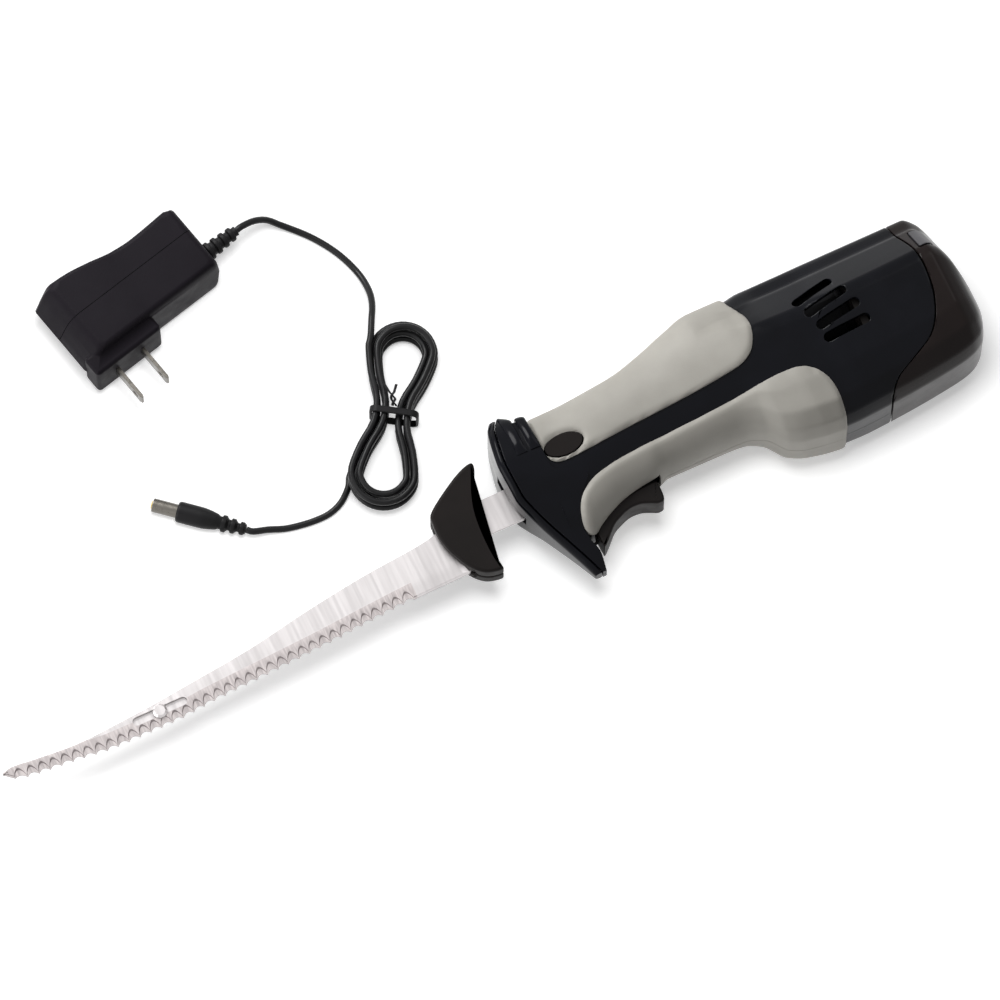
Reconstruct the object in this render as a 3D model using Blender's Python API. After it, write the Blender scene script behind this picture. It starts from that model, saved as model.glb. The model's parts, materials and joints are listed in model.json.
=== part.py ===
"""Cordless electric fillet knife, lying on its side, with its plug-in charger.

Millimetres in the tables below, metres in the scene. In the knife's own frame +X runs from the
nose to the battery, +Y to the spine, +Z to the left side, and the blades slide along Y = 0.
"""

import bisect
import math

import bmesh
import bpy
from mathutils import Matrix, Vector

MM = 0.001
GAP = 0.3
FLATNESS = 1.0
SIDES = (("left", 1), ("right", -1))

# Body lines seen from the side, as (place along the knife, height), and the half width
BODY_START = 16.0
BODY_END = 199.0
BODY_HALF = 26.0
GRIP_HALF = 16.2
SPINE_LINE = ((16, 26.4), (31, 26.5), (46, 27.6), (57.5, 28.9), (70, 32.1), (82, 36.0), (94.6, 39.2),
              (108, 39.3), (117, 40.5), (BODY_END - 11, 40.6), (BODY_END - 6.5, 37.0),
              (BODY_END - 3.5, 30.0), (BODY_END - 1.5, 20.0), (BODY_END, 9.0))
BELLY_LINE = ((16, -24.0), (24, -26.7), (28, -24.2), (32.6, -21.5), (41, -18.0), (47.8, -16.5),
              (55.7, -15.4), (62, -13.4), (86, -13.4), (94, -13.6), (102, -16.6), (108.6, -24.1),
              (116, -27.0), (136, -29.2), (152, -28.4), (BODY_END - 17, -25.2), (BODY_END - 10, -23.5),
              (BODY_END - 5, -20.5), (BODY_END - 2, -16.0), (BODY_END, -11.0))
HALF_WIDTH = ((16, GRIP_HALF + 0.6), (30, GRIP_HALF), (60, GRIP_HALF), (72, GRIP_HALF + 1.0),
              (85, GRIP_HALF + 3.0), (97, BODY_HALF - 4.2), (108, BODY_HALF - 2.3), (118, BODY_HALF - 1.7),
              (138, BODY_HALF - 1.6), (142, BODY_HALF), (BODY_END - 10, BODY_HALF),
              (BODY_END - 6, BODY_HALF - 2.2), (BODY_END - 3, BODY_HALF - 5.5),
              (BODY_END - 1, BODY_HALF - 10.0), (BODY_END, BODY_HALF - 13.5))
BOXINESS = ((92, 0.0), (122, 1.0))
OVAL_POWER = 2.5
# Rear section as shares of the half height and half width: spine strip, chamfer, side, belly
BOX_SECTION = ((1.0, 0.0), (1.0, 0.18), (0.95, 0.26), (0.80, 0.40), (0.77, 0.46), (0.40, 0.945), (0.27, 1.0),
               (0.0, 1.0), (-0.45, 1.0), (-0.75, 0.93), (-0.93, 0.74), (-1.0, 0.45), (-1.0, 0.0))
WALL = 2.5

# Nose and finger flange, as (height, place of the edge) pairs, and its half width by height
NOSE_FRONT = ((-40.6, 17.6), (-32, 13.9), (-23.4, 9.9), (-15.4, 6.1), (-8.6, 2.9), (-2.6, 0.8), (10.4, 0.0),
              (20, 1.2), (28, 3.2), (31.4, 5.2))
NOSE_REAR = ((-40.6, 22.4), (-33.5, 23.2), (-28, 21.6), (-22, 20.6), (-16, 22.0), (-11.5, 25.0), (-7.5, 29.5),
             (-5, 31.0), (2.4, 18.8), (26.4, 18.2), (27.5, 13.0), (30, 10.5), (31.4, 9.2))
NOSE_HALF = ((-40.6, 4.4), (-37, 6.4), (-30, 9.0), (-20, 12.8), (-10, 16.8), (0, 19.0), (10, 19.2),
             (20, 17.2), (28, 13.0), (31.4, 9.5))
# Share of the half width that is left at the nose's front edge, and the run over which it is lost
NOSE_THINNING = ((-40.6, 0.7), (-30, 0.62), (-18, 0.6), (-6, 0.8), (5, 1.0), (31.4, 1.0))
NOSE_THINNING_RUN = 14.0
NOSE_HEIGHTS = (-40.6, -36.5, -30, -24, -17, -9, -2, 3, 9.4, 18, 26.2, 28, 31.4)
NOSE_CORNER = 3.0
NOSE_PLATE = 3.0
CAVITY_START = 14.0

# Grips, moulded over the shells
GRIP_SKIN = 1.0
GRIP_CLEARANCE = 0.5
TOP_GRIP_OUTLINE = ((19.3, 60), (19.0, 20), (19.1, 9.5), (19.7, 6.0), (21.6, 3.9), (25, 3.2), (31.6, 3.4),
                    (58.4, 5.4), (84, 6.4), (97, 7.1), (103.4, 8.0), (108.2, 10.7), (111.2, 15.0),
                    (113.0, 20.5), (113.4, 25.5), (112.2, 30), (110, 36), (109.4, 60))
BELLY_GRIP_OUTLINE = ((24.6, -60), (24.0, -33), (21.9, -27.5), (21.0, -22.5), (21.9, -18), (23.6, -14.4),
                      (26.4, -11.2), (30.4, -8.5), (35.5, -6.6), (45, -4.9), (62.8, -3.6), (97.6, -2.8),
                      (117, -2.4), (123.1, -3.5), (126.6, -5.3), (129.5, -8.6), (131.6, -13.2), (132.3, -19),
                      (131.8, -26), (130.6, -34), (130, -60))

# Twin blades
BLADE_THICK = 1.0
SHANK_TOP = 6.8
SHANK_BOTTOM = -7.2
NOSE_SLOT_Y = (SHANK_BOTTOM - 1.0, SHANK_TOP + 5.2)
NOSE_SLOT_HALF = 3.4
TANG_END = 39.0
SPINE_EDGE = ((-224, -15.4), (-220, -14.6), (-210, -15.6), (-192, -16.9), (-175, -16.0), (-160, -14.9),
              (-146, -13.4), (-118, -10.4), (-89, -5.5), (-64, -2.1), (-36, 0.6), (-28, 3.0),
              (-20, SHANK_TOP))
CUTTING_EDGE = ((-224, -16.0), (-218, -20.3), (-206, -21.8), (-194.6, -22.8), (-180, -24.4), (-153, -24.6),
                (-140, -23.6), (-113, -22.4), (-90, -21.3), (-67.5, -19.8), (-47, -18.7), (-27, -18.3),
                (-19, -13.0), (-14, SHANK_BOTTOM))
BEVEL_HEIGHT = 6.5
EDGE_THICK = 0.25
SCALLOP_START = -50.0
SCALLOP_PITCH = 4.6
SCALLOP_COUNT = 37
SCALLOP_DEPTH = 1.4
RIVET_X = -158.5
RIVET_Y = -18.3
RIVET_RADIUS = 1.2
RIVET_HEAD = 2.9
RIVET_SLOT_RUN = 9.8
STROKE = 4.5

# Finger guards on the blades
GUARD_FRONT = ((20.9, -8.0), (18.0, -16.0), (9.4, -29.4), (4.5, -31.3), (-2.0, -31.4), (-8.2, -30.0),
               (-17.0, -26.0), (-22.2, -21.0), (-23.8, -14.6))
GUARD_REAR = ((-22.0, -13.9), (-17.6, -14.5), (-8.7, -14.6), (2.0, -13.5), (10.9, -10.6), (18.2, -7.0))
GUARD_THICK = 5.5
GUARD_ROUND = 1.2

# Battery
SEAM_LINE = ((-34, BODY_END - 48.8), (-29.8, BODY_END - 48.2), (-23, BODY_END - 43.1),
             (-18.3, BODY_END - 33.5), (-13.5, BODY_END - 24.6), (-8.5, BODY_END - 20.3),
             (-3.2, BODY_END - 17.6), (5, BODY_END - 15.1), (14, BODY_END - 14.2),
             (24, BODY_END - 14.8), (35, BODY_END - 16.9), (48, BODY_END - 18.0))
REAR_START = BODY_END - 51.0
CELL_RADIUS = 9.0
CELL_LENGTH = 35.0
CELL_WALL = 1.4
CELL_Y = (-9.6, 9.0)
CELL_Z = 9.4
CELL_SETBACK = 41.2
CELL_START = BODY_END - CELL_SETBACK
HOLDER_CHAMFER = 6.0
HOLDER_TOP_CHAMFER = 3.5
JACK_RADIUS = 5.0
JACK_BORE = 3.2
JACK_Y = -2.0
JACK_LENGTH = 5.5
LATCH_PAD = ((BODY_END - 12.2, BODY_END - 7.2), (21.8, 31.8))
LATCH_PROUD = 0.6

# Drive: crank gear, cranks, rods, worm and motor
GEAR_X = 58.0
GEAR_Y = 2.0
GEAR_TEETH = 22
GEAR_MODULE = 1.0
GEAR_THICK = 4.4
WORM_PITCH_RADIUS = 4.0
WORM_LENGTH = 17.0
WORM_TURN_POINTS = 7
MOTOR_Y = GEAR_Y + GEAR_TEETH * GEAR_MODULE / 2 + WORM_PITCH_RADIUS
CRANK_THROW = 5.2
CRANK_PIN = 1.75
YOKE_CLEARANCE = 0.45
ROD_LOW = BLADE_THICK + 1.5 * GAP
ARM_THICK = 1.75
LIP = 1.5
ARM_START = 25.0
YOKE_LOW = GEAR_THICK / 2 + 1.0
YOKE_THICK = 2.4
YOKE_HALF = 7.5
GUIDE_END = 18.4
CHEEK_RADIUS = 8.0
CHEEK_THICK = 1.8
JOURNAL_RADIUS = 3.0
BEARING_LENGTH = 3.1
BEARING_RADIUS = 5.4
SHAFT_RADIUS = 1.6
SHAFT_START = 41.0
MOTOR_START = 96.5
MOTOR_SETBACK = 8.8
MOTOR_LENGTH = CELL_START - MOTOR_SETBACK - MOTOR_START
MOTOR_RADIUS = 16.3
MOTOR_BOSS = 6.5
MOTOR_CAP = 3.0
MOTOR_WALL = 3.2
ARMATURE_RADIUS = 11.5
WORM_BUSH_RADIUS = 3.6
WORM_RIB = ((41.5, 45.5), (13.0, 27.0))
MOTOR_RIB_FRONT = (MOTOR_START - 2.9, MOTOR_START - 0.3)
MOTOR_RIB_REAR = (MOTOR_START + MOTOR_LENGTH - 5.0, MOTOR_START + MOTOR_LENGTH - 2.6)

# Trigger and switch
TRIGGER_PIVOT = (28.5, -18.8)
TRIGGER_OUTLINE = ((25.2, -31.2), (26.2, -32.0), (29.8, -28.7), (32.4, -26.2), (35, -24.6), (40.5, -22.6),
                   (45.4, -22.6), (49, -23.9), (52.2, -25.3), (54.8, -24.3), (55.2, -18.0), (53.5, -16.4),
                   (44, -16.9), (37, -17.9), (31.5, -16.3), (28.5, -15.8), (25.9, -17.2), (25.0, -20.5))
TRIGGER_HALF = 7.0
TRIGGER_SLOT_X = (24.6, 57.2)
TRIGGER_SLOT_TOP = -12.4
TRIGGER_PIN_HALF = 9.6
TRIGGER_PIN_RADIUS = 1.2
SWITCH_BOX = ((29.5, 41.5), (-15.0, -10.2), (-5.0, 5.0))
SPRING_SEAT_Y = -11.0
TRIGGER_SPRING_X = 47.5

# Release buttons on the nose
BUTTON_X = 27.2
BUTTON_Y = 9.2
BUTTON_HALF_LENGTH = 8.0
BUTTON_HALF_HEIGHT = 4.5
BUTTON_TOP = 17.6
BUTTON_LOW = 12.0
BUTTON_TRAVEL = 2.0
LATCH_PLATE = ((22.0, 38.0), (6.4, 27.0))
LATCH_PLATE_Z = 6.0

# Vents, as the slot's front end, its length and its slope in degrees
VENT_HALF = 2.0
VENTS = ((133.6, 21.9, 15.0, 13), (136.0, 15.4, 15.4, 11), (138.0, 8.8, 15.6, 9), (138.4, 2.8, 16.0, 3))

# Screws that close the shells, all driven from the right side
SCREWS = ((13.0, 19.5), (78.0, -8.2), (84.0, 28.5), (BODY_END - 57.0, -20.0))
SCREW_HEAD = 2.9
SCREW_SHANK = 1.4
SCREW_HEAD_Z = -4.0
SCREW_LENGTH = 12.0
BOSS_RADIUS = 3.8

# Charger, on its side: its own frame has +X along the case and +Y away from the prongs
CHARGER_PLACE = (-96.6, 146.5)
CHARGER_TURN = 14.0
CASE_HALF_LENGTH = 33.75
CASE_FRONT = -15.6
CASE_HEIGHT = 28.0
CASE_BACK = ((-CASE_HALF_LENGTH, 18.6), (-31.5, 19.9), (-24, 19.6), (-12, 17.8), (0, 15.4), (10, 14.6),
             (22, 15.4), (30, 16.6), (CASE_HALF_LENGTH, 14.6))
CASE_SEAM = 2.4
CASE_WALL = 2.0
CASE_TAPER = 7.5
PRONG_SPACING = 12.7
PRONG_LENGTH = 15.9
PRONG_WIDTH = 6.35
PRONG_THICK = 1.5
PRONG_CENTRE = 16.75 - CASE_HALF_LENGTH
PRONG_Z = 13.5
PRONG_BLOCK_HALF = 16.0
PRONG_BLOCK_DEPTH = 6.0
PRONG_ROOT = 3.0
BOARD_THICK = 1.6
COIL_X = (-12.0, 6.0)
COIL_DEPTH = 19.0
RELIEF_Y = -5.6
RELIEF_LENGTH = 15.0

# Cord, with its routes as chosen points in the knife's X and Y, and height above the floor
FLOOR = -BODY_HALF
CORD = 2.7
LEAD_ROUTE = ((-42.0, 154.2, 13.2), (-35.0, 154.2, 8.2), (-28.5, 150.2, 2.6), (-21.0, 142.5, 1.4),
              (-14.0, 131.5, 1.4), (-9.8, 119.0, 1.9), (-10.4, 107.0, 7.2), (-14.6, 97.6, 12.0))
TAIL_ROUTE = ((-54.0, 37.8, 2.0), (-61.5, 34.6, 1.4), (-70.2, 34.4, 1.4), (-80.5, 36.2, 1.5),
              (-88.6, 38.9, 3.2))
HANK_CENTRE = (-23.0, 58.5)
HANK_TURN = 56.6
HANK_FOLD_AT = 25.0
HANK_OUTER = 13.8
HANK_STEP = 3.42
HANK_WAIST = 6.6
HANK_LAYER = 3.2
HANK_LAYERS = 4
TURN_POINTS = 24
FOLD_POINTS = 7
RUN_POINTS = 5
TIE_THICK = 1.2
TIE_WIDTH = 4.0
PLUG_AT = (-94.9, 41.6)
PLUG_TURN = 139.4
PLUG_RADIUS = 4.2
PLUG_RELIEF = 11.0
PLUG_LENGTH = 28.0
BARREL_RADIUS = 2.75
BARREL_LENGTH = 10.0
BARREL_BORE = 1.9


def curve_through(knots):
    """A smooth function through (place, value) pairs that doesn't overshoot them."""
    places = [knot[0] for knot in knots]
    values = [knot[1] for knot in knots]
    slopes = [(values[i + 1] - values[i]) / (places[i + 1] - places[i]) for i in range(len(knots) - 1)]
    tangents = [slopes[0]]
    tangents += [0.0 if a * b <= 0 else 2 * a * b / (a + b) for a, b in zip(slopes, slopes[1:])]
    tangents.append(slopes[-1])

    def value(place):
        place = min(max(place, places[0]), places[-1])
        i = min(bisect.bisect_right(places, place), len(places) - 1) - 1
        span = places[i + 1] - places[i]
        t = (place - places[i]) / span
        return (values[i] * (2 * t ** 3 - 3 * t ** 2 + 1) + tangents[i] * span * (t ** 3 - 2 * t ** 2 + t)
                + values[i + 1] * (3 * t ** 2 - 2 * t ** 3) + tangents[i + 1] * span * (t ** 3 - t ** 2))

    return value


spine_at = curve_through(SPINE_LINE)
belly_at = curve_through(BELLY_LINE)
half_at = curve_through(HALF_WIDTH)
boxy_at = curve_through(BOXINESS)
nose_front_at = curve_through(NOSE_FRONT)
nose_rear_at = curve_through(NOSE_REAR)
nose_half_at = curve_through(NOSE_HALF)
nose_thinning_at = curve_through(NOSE_THINNING)
spine_edge_at = curve_through(SPINE_EDGE)
cutting_edge_at = curve_through(CUTTING_EDGE)
seam_at = curve_through(SEAM_LINE)
case_back_at = curve_through(CASE_BACK)


def steps(start, end, step):
    """Evenly spaced places from start to end, no further apart than step."""
    count = max(1, math.ceil(abs(end - start) / step))
    return [start + (end - start) * i / count for i in range(count + 1)]


def solid(name, points, faces):
    """A closed mesh object from points in millimetres, its faces flat and turned outwards."""
    mesh = bpy.data.meshes.new(name)
    mesh.from_pydata([Vector(point) * MM for point in points], [], faces)
    shape = bmesh.new()
    shape.from_mesh(mesh)
    bmesh.ops.connect_verts_nonplanar(shape, angle_limit=math.radians(0.01), faces=shape.faces)
    bmesh.ops.recalc_face_normals(shape, faces=shape.faces)
    shape.to_mesh(mesh)
    shape.free()
    thing = bpy.data.objects.new(name, mesh)
    bpy.context.collection.objects.link(thing)
    return thing


GRIP_PLACES = steps(BODY_START, 136, 8.6)
REAR_PLACES = steps(142, BODY_END - 13, 16)
BODY_PLACES = GRIP_PLACES + REAR_PLACES + steps(BODY_END - 13, BODY_END, 2.6)[1:]


def loft(name, rings, triangles=False):
    """A solid skinned over rings of equally many points, closed with a flat cap at each end."""
    count = len(rings[0])
    points = [point for ring in rings for point in ring]
    faces = [tuple(range(count)), tuple(reversed(range(len(points) - count, len(points))))]
    for row in range(len(rings) - 1):
        for side in range(count):
            low = row * count + side
            high = row * count + (side + 1) % count
            if triangles:
                faces += [(low, high, high + count), (low, high + count, low + count)]
            else:
                faces.append((low, high, high + count, low + count))
    return solid(name, points, faces)


def prism(name, outline, low, high):
    """A side-view outline pushed through from z = low to z = high."""
    return loft(name, [[(x, y, z) for x, y in outline] for z in (low, high)])


def box(name, x_span, y_span, z_span):
    outline = [(x_span[0], y_span[0]), (x_span[1], y_span[0]), (x_span[1], y_span[1]), (x_span[0], y_span[1])]
    return prism(name, outline, *z_span)


def turned(name, start, direction, profile, sides=16):
    """A solid of revolution: profile holds (distance along the axis, radius) pairs."""
    axis = Vector(direction).normalized()
    across = axis.orthogonal().normalized()
    up = axis.cross(across)
    rings = []
    for distance, radius in profile:
        centre = Vector(start) + axis * distance
        rings.append([centre + (across * math.cos(a) + up * math.sin(a)) * radius
                      for a in (math.tau * i / sides for i in range(sides))])
    return loft(name, rings)


def rod_between(name, start, end, radius, sides=16):
    run = Vector(end) - Vector(start)
    return turned(name, start, run, ((0, radius), (run.length, radius)), sides)


def rounded_slot(x, y, length, half, slope, corners=4):
    """Outline of a slot with round ends, from its front end centre, at a slope in degrees."""
    outline = []
    for end, first in ((length, -90), (0, 90)):
        for i in range(corners):
            angle = math.radians(first + 180 * i / (corners - 1))
            outline.append((end + half * math.cos(angle), half * math.sin(angle)))
    turn = math.radians(slope)
    return [(x + u * math.cos(turn) - v * math.sin(turn), y + u * math.sin(turn) + v * math.cos(turn))
            for u, v in outline]


def oval(x, y, half_length, half_height, count=16):
    return [(x + half_length * math.cos(a), y + half_height * math.sin(a))
            for a in (math.tau * i / count for i in range(count))]


def chamfered_rectangle(x, y, half_length, half_height, cut):
    """Outline of a rectangle with its corners cut off."""
    quarter = [(half_length, half_height - cut), (half_length - cut, half_height)]
    upper = quarter + [(-u, v) for u, v in reversed(quarter)]
    return [(x + u, y + v) for u, v in upper + [(u, -v) for u, v in reversed(upper)]]


def settle(thing):
    """Turn a piece's modifiers into its mesh."""
    graph = bpy.context.evaluated_depsgraph_get()
    mesh = bpy.data.meshes.new_from_object(thing.evaluated_get(graph))
    thing.modifiers.clear()
    thing.data = mesh
    return thing


def combine(thing, operation, *tools):
    """Cut, join or intersect a piece with tools that are used up, one after the other."""
    for tool in tools:
        change = thing.modifiers.new(operation.title(), "BOOLEAN")
        change.operation = operation
        change.object = tool
        settle(thing)
        bpy.data.objects.remove(tool)
    return thing


def soften(thing, width, segments=2, angle=40):
    """Round the sharp edges of a piece."""
    change = thing.modifiers.new("Edges", "BEVEL")
    change.width = width * MM
    change.segments = segments
    change.limit_method = "ANGLE"
    change.angle_limit = math.radians(angle)
    return settle(thing)


def merge_flat_faces(thing):
    """Join neighbouring faces that lie in one plane, as cuts leave them."""
    shape = bmesh.new()
    shape.from_mesh(thing.data)
    bmesh.ops.dissolve_limit(shape, angle_limit=math.radians(FLATNESS), verts=shape.verts, edges=shape.edges)
    shape.to_mesh(thing.data)
    shape.free()


def mirrored(thing, name):
    """The right-hand twin of a left-hand piece."""
    twin = bpy.data.objects.new(name, thing.data.copy())
    bpy.context.collection.objects.link(twin)
    shape = bmesh.new()
    shape.from_mesh(twin.data)
    bmesh.ops.scale(shape, vec=(1, 1, -1), verts=shape.verts)
    bmesh.ops.reverse_faces(shape, faces=shape.faces)
    shape.to_mesh(twin.data)
    shape.free()
    return twin


FINISHES = {
    "black_gloss": ((0.012, 0.012, 0.014), 0.22, 0.0),
    "black_matte": ((0.018, 0.017, 0.016), 0.55, 0.0),
    "grip": ((0.38, 0.37, 0.32), 0.60, 0.0),
    "steel": ((0.72, 0.72, 0.73), 0.25, 1.0),
    "dark_steel": ((0.35, 0.35, 0.36), 0.35, 1.0),
    "brass": ((0.72, 0.55, 0.28), 0.35, 1.0),
    "nylon": ((0.82, 0.80, 0.74), 0.50, 0.0),
    "cell": ((0.10, 0.25, 0.45), 0.40, 0.0),
    "cord": ((0.015, 0.015, 0.016), 0.45, 0.0),
}


def finish(thing, look, pivot=(0, 0, 0), parent=None):
    """Give a piece its material, its origin at the pivot and its place under the frame."""
    colour, roughness, metallic = FINISHES[look]
    material = bpy.data.materials.new(thing.name + "_" + look)
    material.use_nodes = True
    shader = material.node_tree.nodes["Principled BSDF"]
    shader.inputs["Base Color"].default_value = (*colour, 1)
    shader.inputs["Roughness"].default_value = roughness
    shader.inputs["Metallic"].default_value = metallic
    material.diffuse_color = (*colour, 1)
    thing.data.materials.clear()
    thing.data.materials.append(material)
    shift = Vector(pivot) * MM
    if thing.type == "MESH":
        merge_flat_faces(thing)
        thing.data.transform(Matrix.Translation(-shift))
        thing.data.shade_smooth()
        thing.data.set_sharp_from_angle(angle=math.radians(35))
        thing.location = shift
    thing.parent = parent or knife
    return thing


def signed_power(value, power):
    return math.copysign(abs(value) ** power, value)


def station_ring(x, inset, start):
    """Half section of the body at a station, its surface moved in by inset, closed at z = start."""
    top = spine_at(x) - inset
    bottom = belly_at(x) + inset
    half = half_at(x) - inset
    boxy = boxy_at(x)
    middle = (top + bottom) / 2
    reach = (top - bottom) / 2
    ring = []
    last = len(BOX_SECTION) - 1
    for i, (box_up, box_out) in enumerate(BOX_SECTION):
        angle = math.pi * i / last
        up = signed_power(math.cos(angle), 2 / OVAL_POWER)
        out = abs(math.sin(angle)) ** (2 / OVAL_POWER)
        up += (box_up - up) * boxy
        out += (box_out - out) * boxy
        ring.append(Vector((x, middle + reach * up, start if i in (0, last) else half * out)))
    return ring


def body_ring(x, inset, start):
    """Half section anywhere, read between stations so that all skins of the body run parallel."""
    i = min(max(bisect.bisect_right(BODY_PLACES, x), 1), len(BODY_PLACES) - 1)
    before, after = BODY_PLACES[i - 1], BODY_PLACES[i]
    share = (x - before) / (after - before)
    rings = zip(station_ring(before, inset, start), station_ring(after, inset, start))
    return [a.lerp(b, share) for a, b in rings]


def body_places(start, end):
    return [start, *[x for x in BODY_PLACES if start + 0.2 < x < end - 0.2], end]


def body_half(name, x_span, inset, start):
    """The +Z half of the body over a stretch of its length, from z = start outwards."""
    return loft(name, [body_ring(x, inset, start) for x in body_places(*x_span)], True)


def whole_ring(half):
    """A closed section from its +Z half, whose first and last points lie at z = 0."""
    return half + [(x, y, -z) for x, y, z in reversed(half[1:-1])]


def body_whole(name, x_span, inset):
    return loft(name, [whole_ring(body_ring(x, inset, 0)) for x in body_places(*x_span)], True)


def nose_side(x, y):
    """Half width of the nose, which grows from its front edge backwards."""
    share = min(max((x - nose_front_at(y)) / NOSE_THINNING_RUN, 0), 1)
    thinning = nose_thinning_at(y)
    return nose_half_at(y) * (thinning + (1 - thinning) * share)


def nose_rings(front_inset, rear, start):
    """Half sections of the nose from its front edge to a rear edge, both given by height."""
    rings = []
    for y in NOSE_HEIGHTS:
        front = nose_front_at(y) + front_inset
        back = rear(y)
        corner = NOSE_CORNER if front_inset == 0 else 0.0
        corner = min(corner, 0.6 * nose_side(front, y), 0.8 * (back - front))
        ring = [(front, y, start), (front, y, nose_side(front, y) - corner - 0.2)]
        for i in range(1, 4):
            angle = math.radians(30 * i)
            x = front + corner * (1 - math.cos(angle))
            ring.append((x, y, nose_side(x, y) - corner * (1 - math.sin(angle))))
        ring += [(back, y, nose_side(back, y) - 0.6), (back, y, start)]
        rings.append(ring)
    return rings


def behind_seam(name, shift):
    """Everything behind the curved seam between housing and battery."""
    outline = [(seam_at(y) + shift, y) for y in steps(-34, 48, 5)]
    far = BODY_END + 40
    return prism(name, outline + [(far, 48), (far, -34)], -BODY_HALF - 5, BODY_HALF + 5)


def motor_rib(name, x_span, hole):
    """A bulkhead that fills the shell around a round hole for the motor."""
    rib = body_half(name, x_span, WALL / 2, -3)
    return combine(rib, "DIFFERENCE", along_motor("hole", widened(x_span, 1), hole, 20))


def along_motor(name, x_span, radius, sides=16):
    """A rod on the motor's axis."""
    return rod_between(name, (x_span[0], MOTOR_Y, 0), (x_span[1], MOTOR_Y, 0), radius, sides)


def widened(span, margin):
    return (span[0] - margin, span[1] + margin)


def inner_piece(piece, x_span):
    """A rib or boss, cut off inside the shell's wall."""
    return combine(piece, "INTERSECT", body_half("envelope", x_span, WALL / 2, -7))


def boss(name, x, y, low, radius, sides=16):
    """A post that stands inwards from the shell's wall to z = low."""
    return inner_piece(rod_between(name, (x, y, low), (x, y, BODY_HALF), radius, sides), (x - 12, x + 12))


def housing_shell(name, screw_side):
    """One shell, on the +Z side: nose, grip core and motor housing with its ribs."""
    shell = body_half(name, (BODY_START, BODY_END), 0, -2)
    combine(shell, "UNION", loft("nose", nose_rings(NOSE_PLATE + GAP, nose_rear_at, -1)))
    combine(shell, "DIFFERENCE", behind_seam("rear", -GAP / 2))
    combine(shell, "DIFFERENCE", body_half("cavity", (CAVITY_START, BODY_END), WALL, -6))

    seat_x = (TRIGGER_SPRING_X - 3, TRIGGER_SPRING_X + 3)
    seat_y = (SPRING_SEAT_Y, SPRING_SEAT_Y + 1.5)
    plate_z = (LATCH_PLATE_Z - 1.5, LATCH_PLATE_Z)
    combine(shell, "UNION",
            inner_piece(box("worm rib", *WORM_RIB, (-3, BODY_HALF)), widened(WORM_RIB[0], 4)),
            inner_piece(box("latch plate", *LATCH_PLATE, plate_z), widened(LATCH_PLATE[0], 2)),
            inner_piece(box("spring seat", seat_x, seat_y, (-3, BODY_HALF)), widened(seat_x, 3)),
            boss("bearing boss", GEAR_X, GEAR_Y, bearing_low() - GAP, BEARING_RADIUS + 2.0),
            boss("pin boss", *TRIGGER_PIVOT, TRIGGER_HALF + 0.6, 2.8, 12),
            motor_rib("front rib", MOTOR_RIB_FRONT, MOTOR_BOSS + GAP),
            motor_rib("rear rib", MOTOR_RIB_REAR, MOTOR_RADIUS + GAP),
            *[boss("screw post", x, y, -4, BOSS_RADIUS, 10) for x, y in SCREWS[1:]])
    combine(shell, "INTERSECT", box("half", (-20, 220), (-60, 60), (GAP / 2, BODY_HALF + 5)))

    gear_low = (GEAR_X, GEAR_Y, 0)
    button = oval(BUTTON_X, BUTTON_Y, BUTTON_HALF_LENGTH + GAP, BUTTON_HALF_HEIGHT + GAP)
    combine(shell, "DIFFERENCE",
            rod_between("bearing seat", gear_low, (GEAR_X, GEAR_Y, bearing_low() + BEARING_LENGTH + GAP),
                        BEARING_RADIUS + GAP),
            along_motor("worm hole", widened(WORM_RIB[0], 1.5), WORM_BUSH_RADIUS + GAP),
            rod_between("pin hole", (*TRIGGER_PIVOT, -4), (*TRIGGER_PIVOT, TRIGGER_PIN_HALF + GAP),
                        TRIGGER_PIN_RADIUS + GAP, 12),
            box("trigger slot", TRIGGER_SLOT_X, (-40, TRIGGER_SLOT_TOP), (-5, TRIGGER_HALF + 0.6)),
            prism("button hole", button, BUTTON_LOW - BUTTON_TRAVEL - 2 * GAP, BUTTON_TOP + 4),
            box("blade slot", (-3, CAVITY_START + 1), NOSE_SLOT_Y, (-5, NOSE_SLOT_HALF)))
    for x, y, length, slope in VENTS:
        outline = rounded_slot(x, y, length, VENT_HALF, slope)
        combine(shell, "DIFFERENCE", prism("vent", outline, 5, BODY_HALF + 2))
    depth = BODY_HALF + 2 if screw_side else SCREW_LENGTH + SCREW_HEAD_Z + 1.0
    for x, y in SCREWS:
        combine(shell, "DIFFERENCE",
                rod_between("shank hole", (x, y, -5), (x, y, depth), SCREW_SHANK + GAP, 12))
        if screw_side:
            head_low = -SCREW_HEAD_Z - GAP
            combine(shell, "DIFFERENCE",
                    rod_between("head hole", (x, y, head_low), (x, y, BODY_HALF + 2), SCREW_HEAD + GAP))
    return shell


def bearing_low():
    """Height at which the crank bearings start, outside the crank's cheek."""
    return YOKE_LOW + YOKE_THICK + 0.6 + CHEEK_THICK + 0.9


def grip_skin(name, outline, *cutters):
    """Soft skin over one shell, cut to a side-view outline."""
    x_span = widened((min(x for x, y in outline), max(x for x, y in outline)), 1.5)
    skin = body_half(name, x_span, -GRIP_CLEARANCE - GRIP_SKIN, GAP / 2)
    core = body_half("core", (x_span[0] - 1, x_span[1] + 1), -GRIP_CLEARANCE, -1)
    combine(skin, "DIFFERENCE", core)
    combine(skin, "INTERSECT", prism("outline", outline, -5, BODY_HALF + 5))
    if cutters:
        combine(skin, "DIFFERENCE", *cutters)
    return skin


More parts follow.
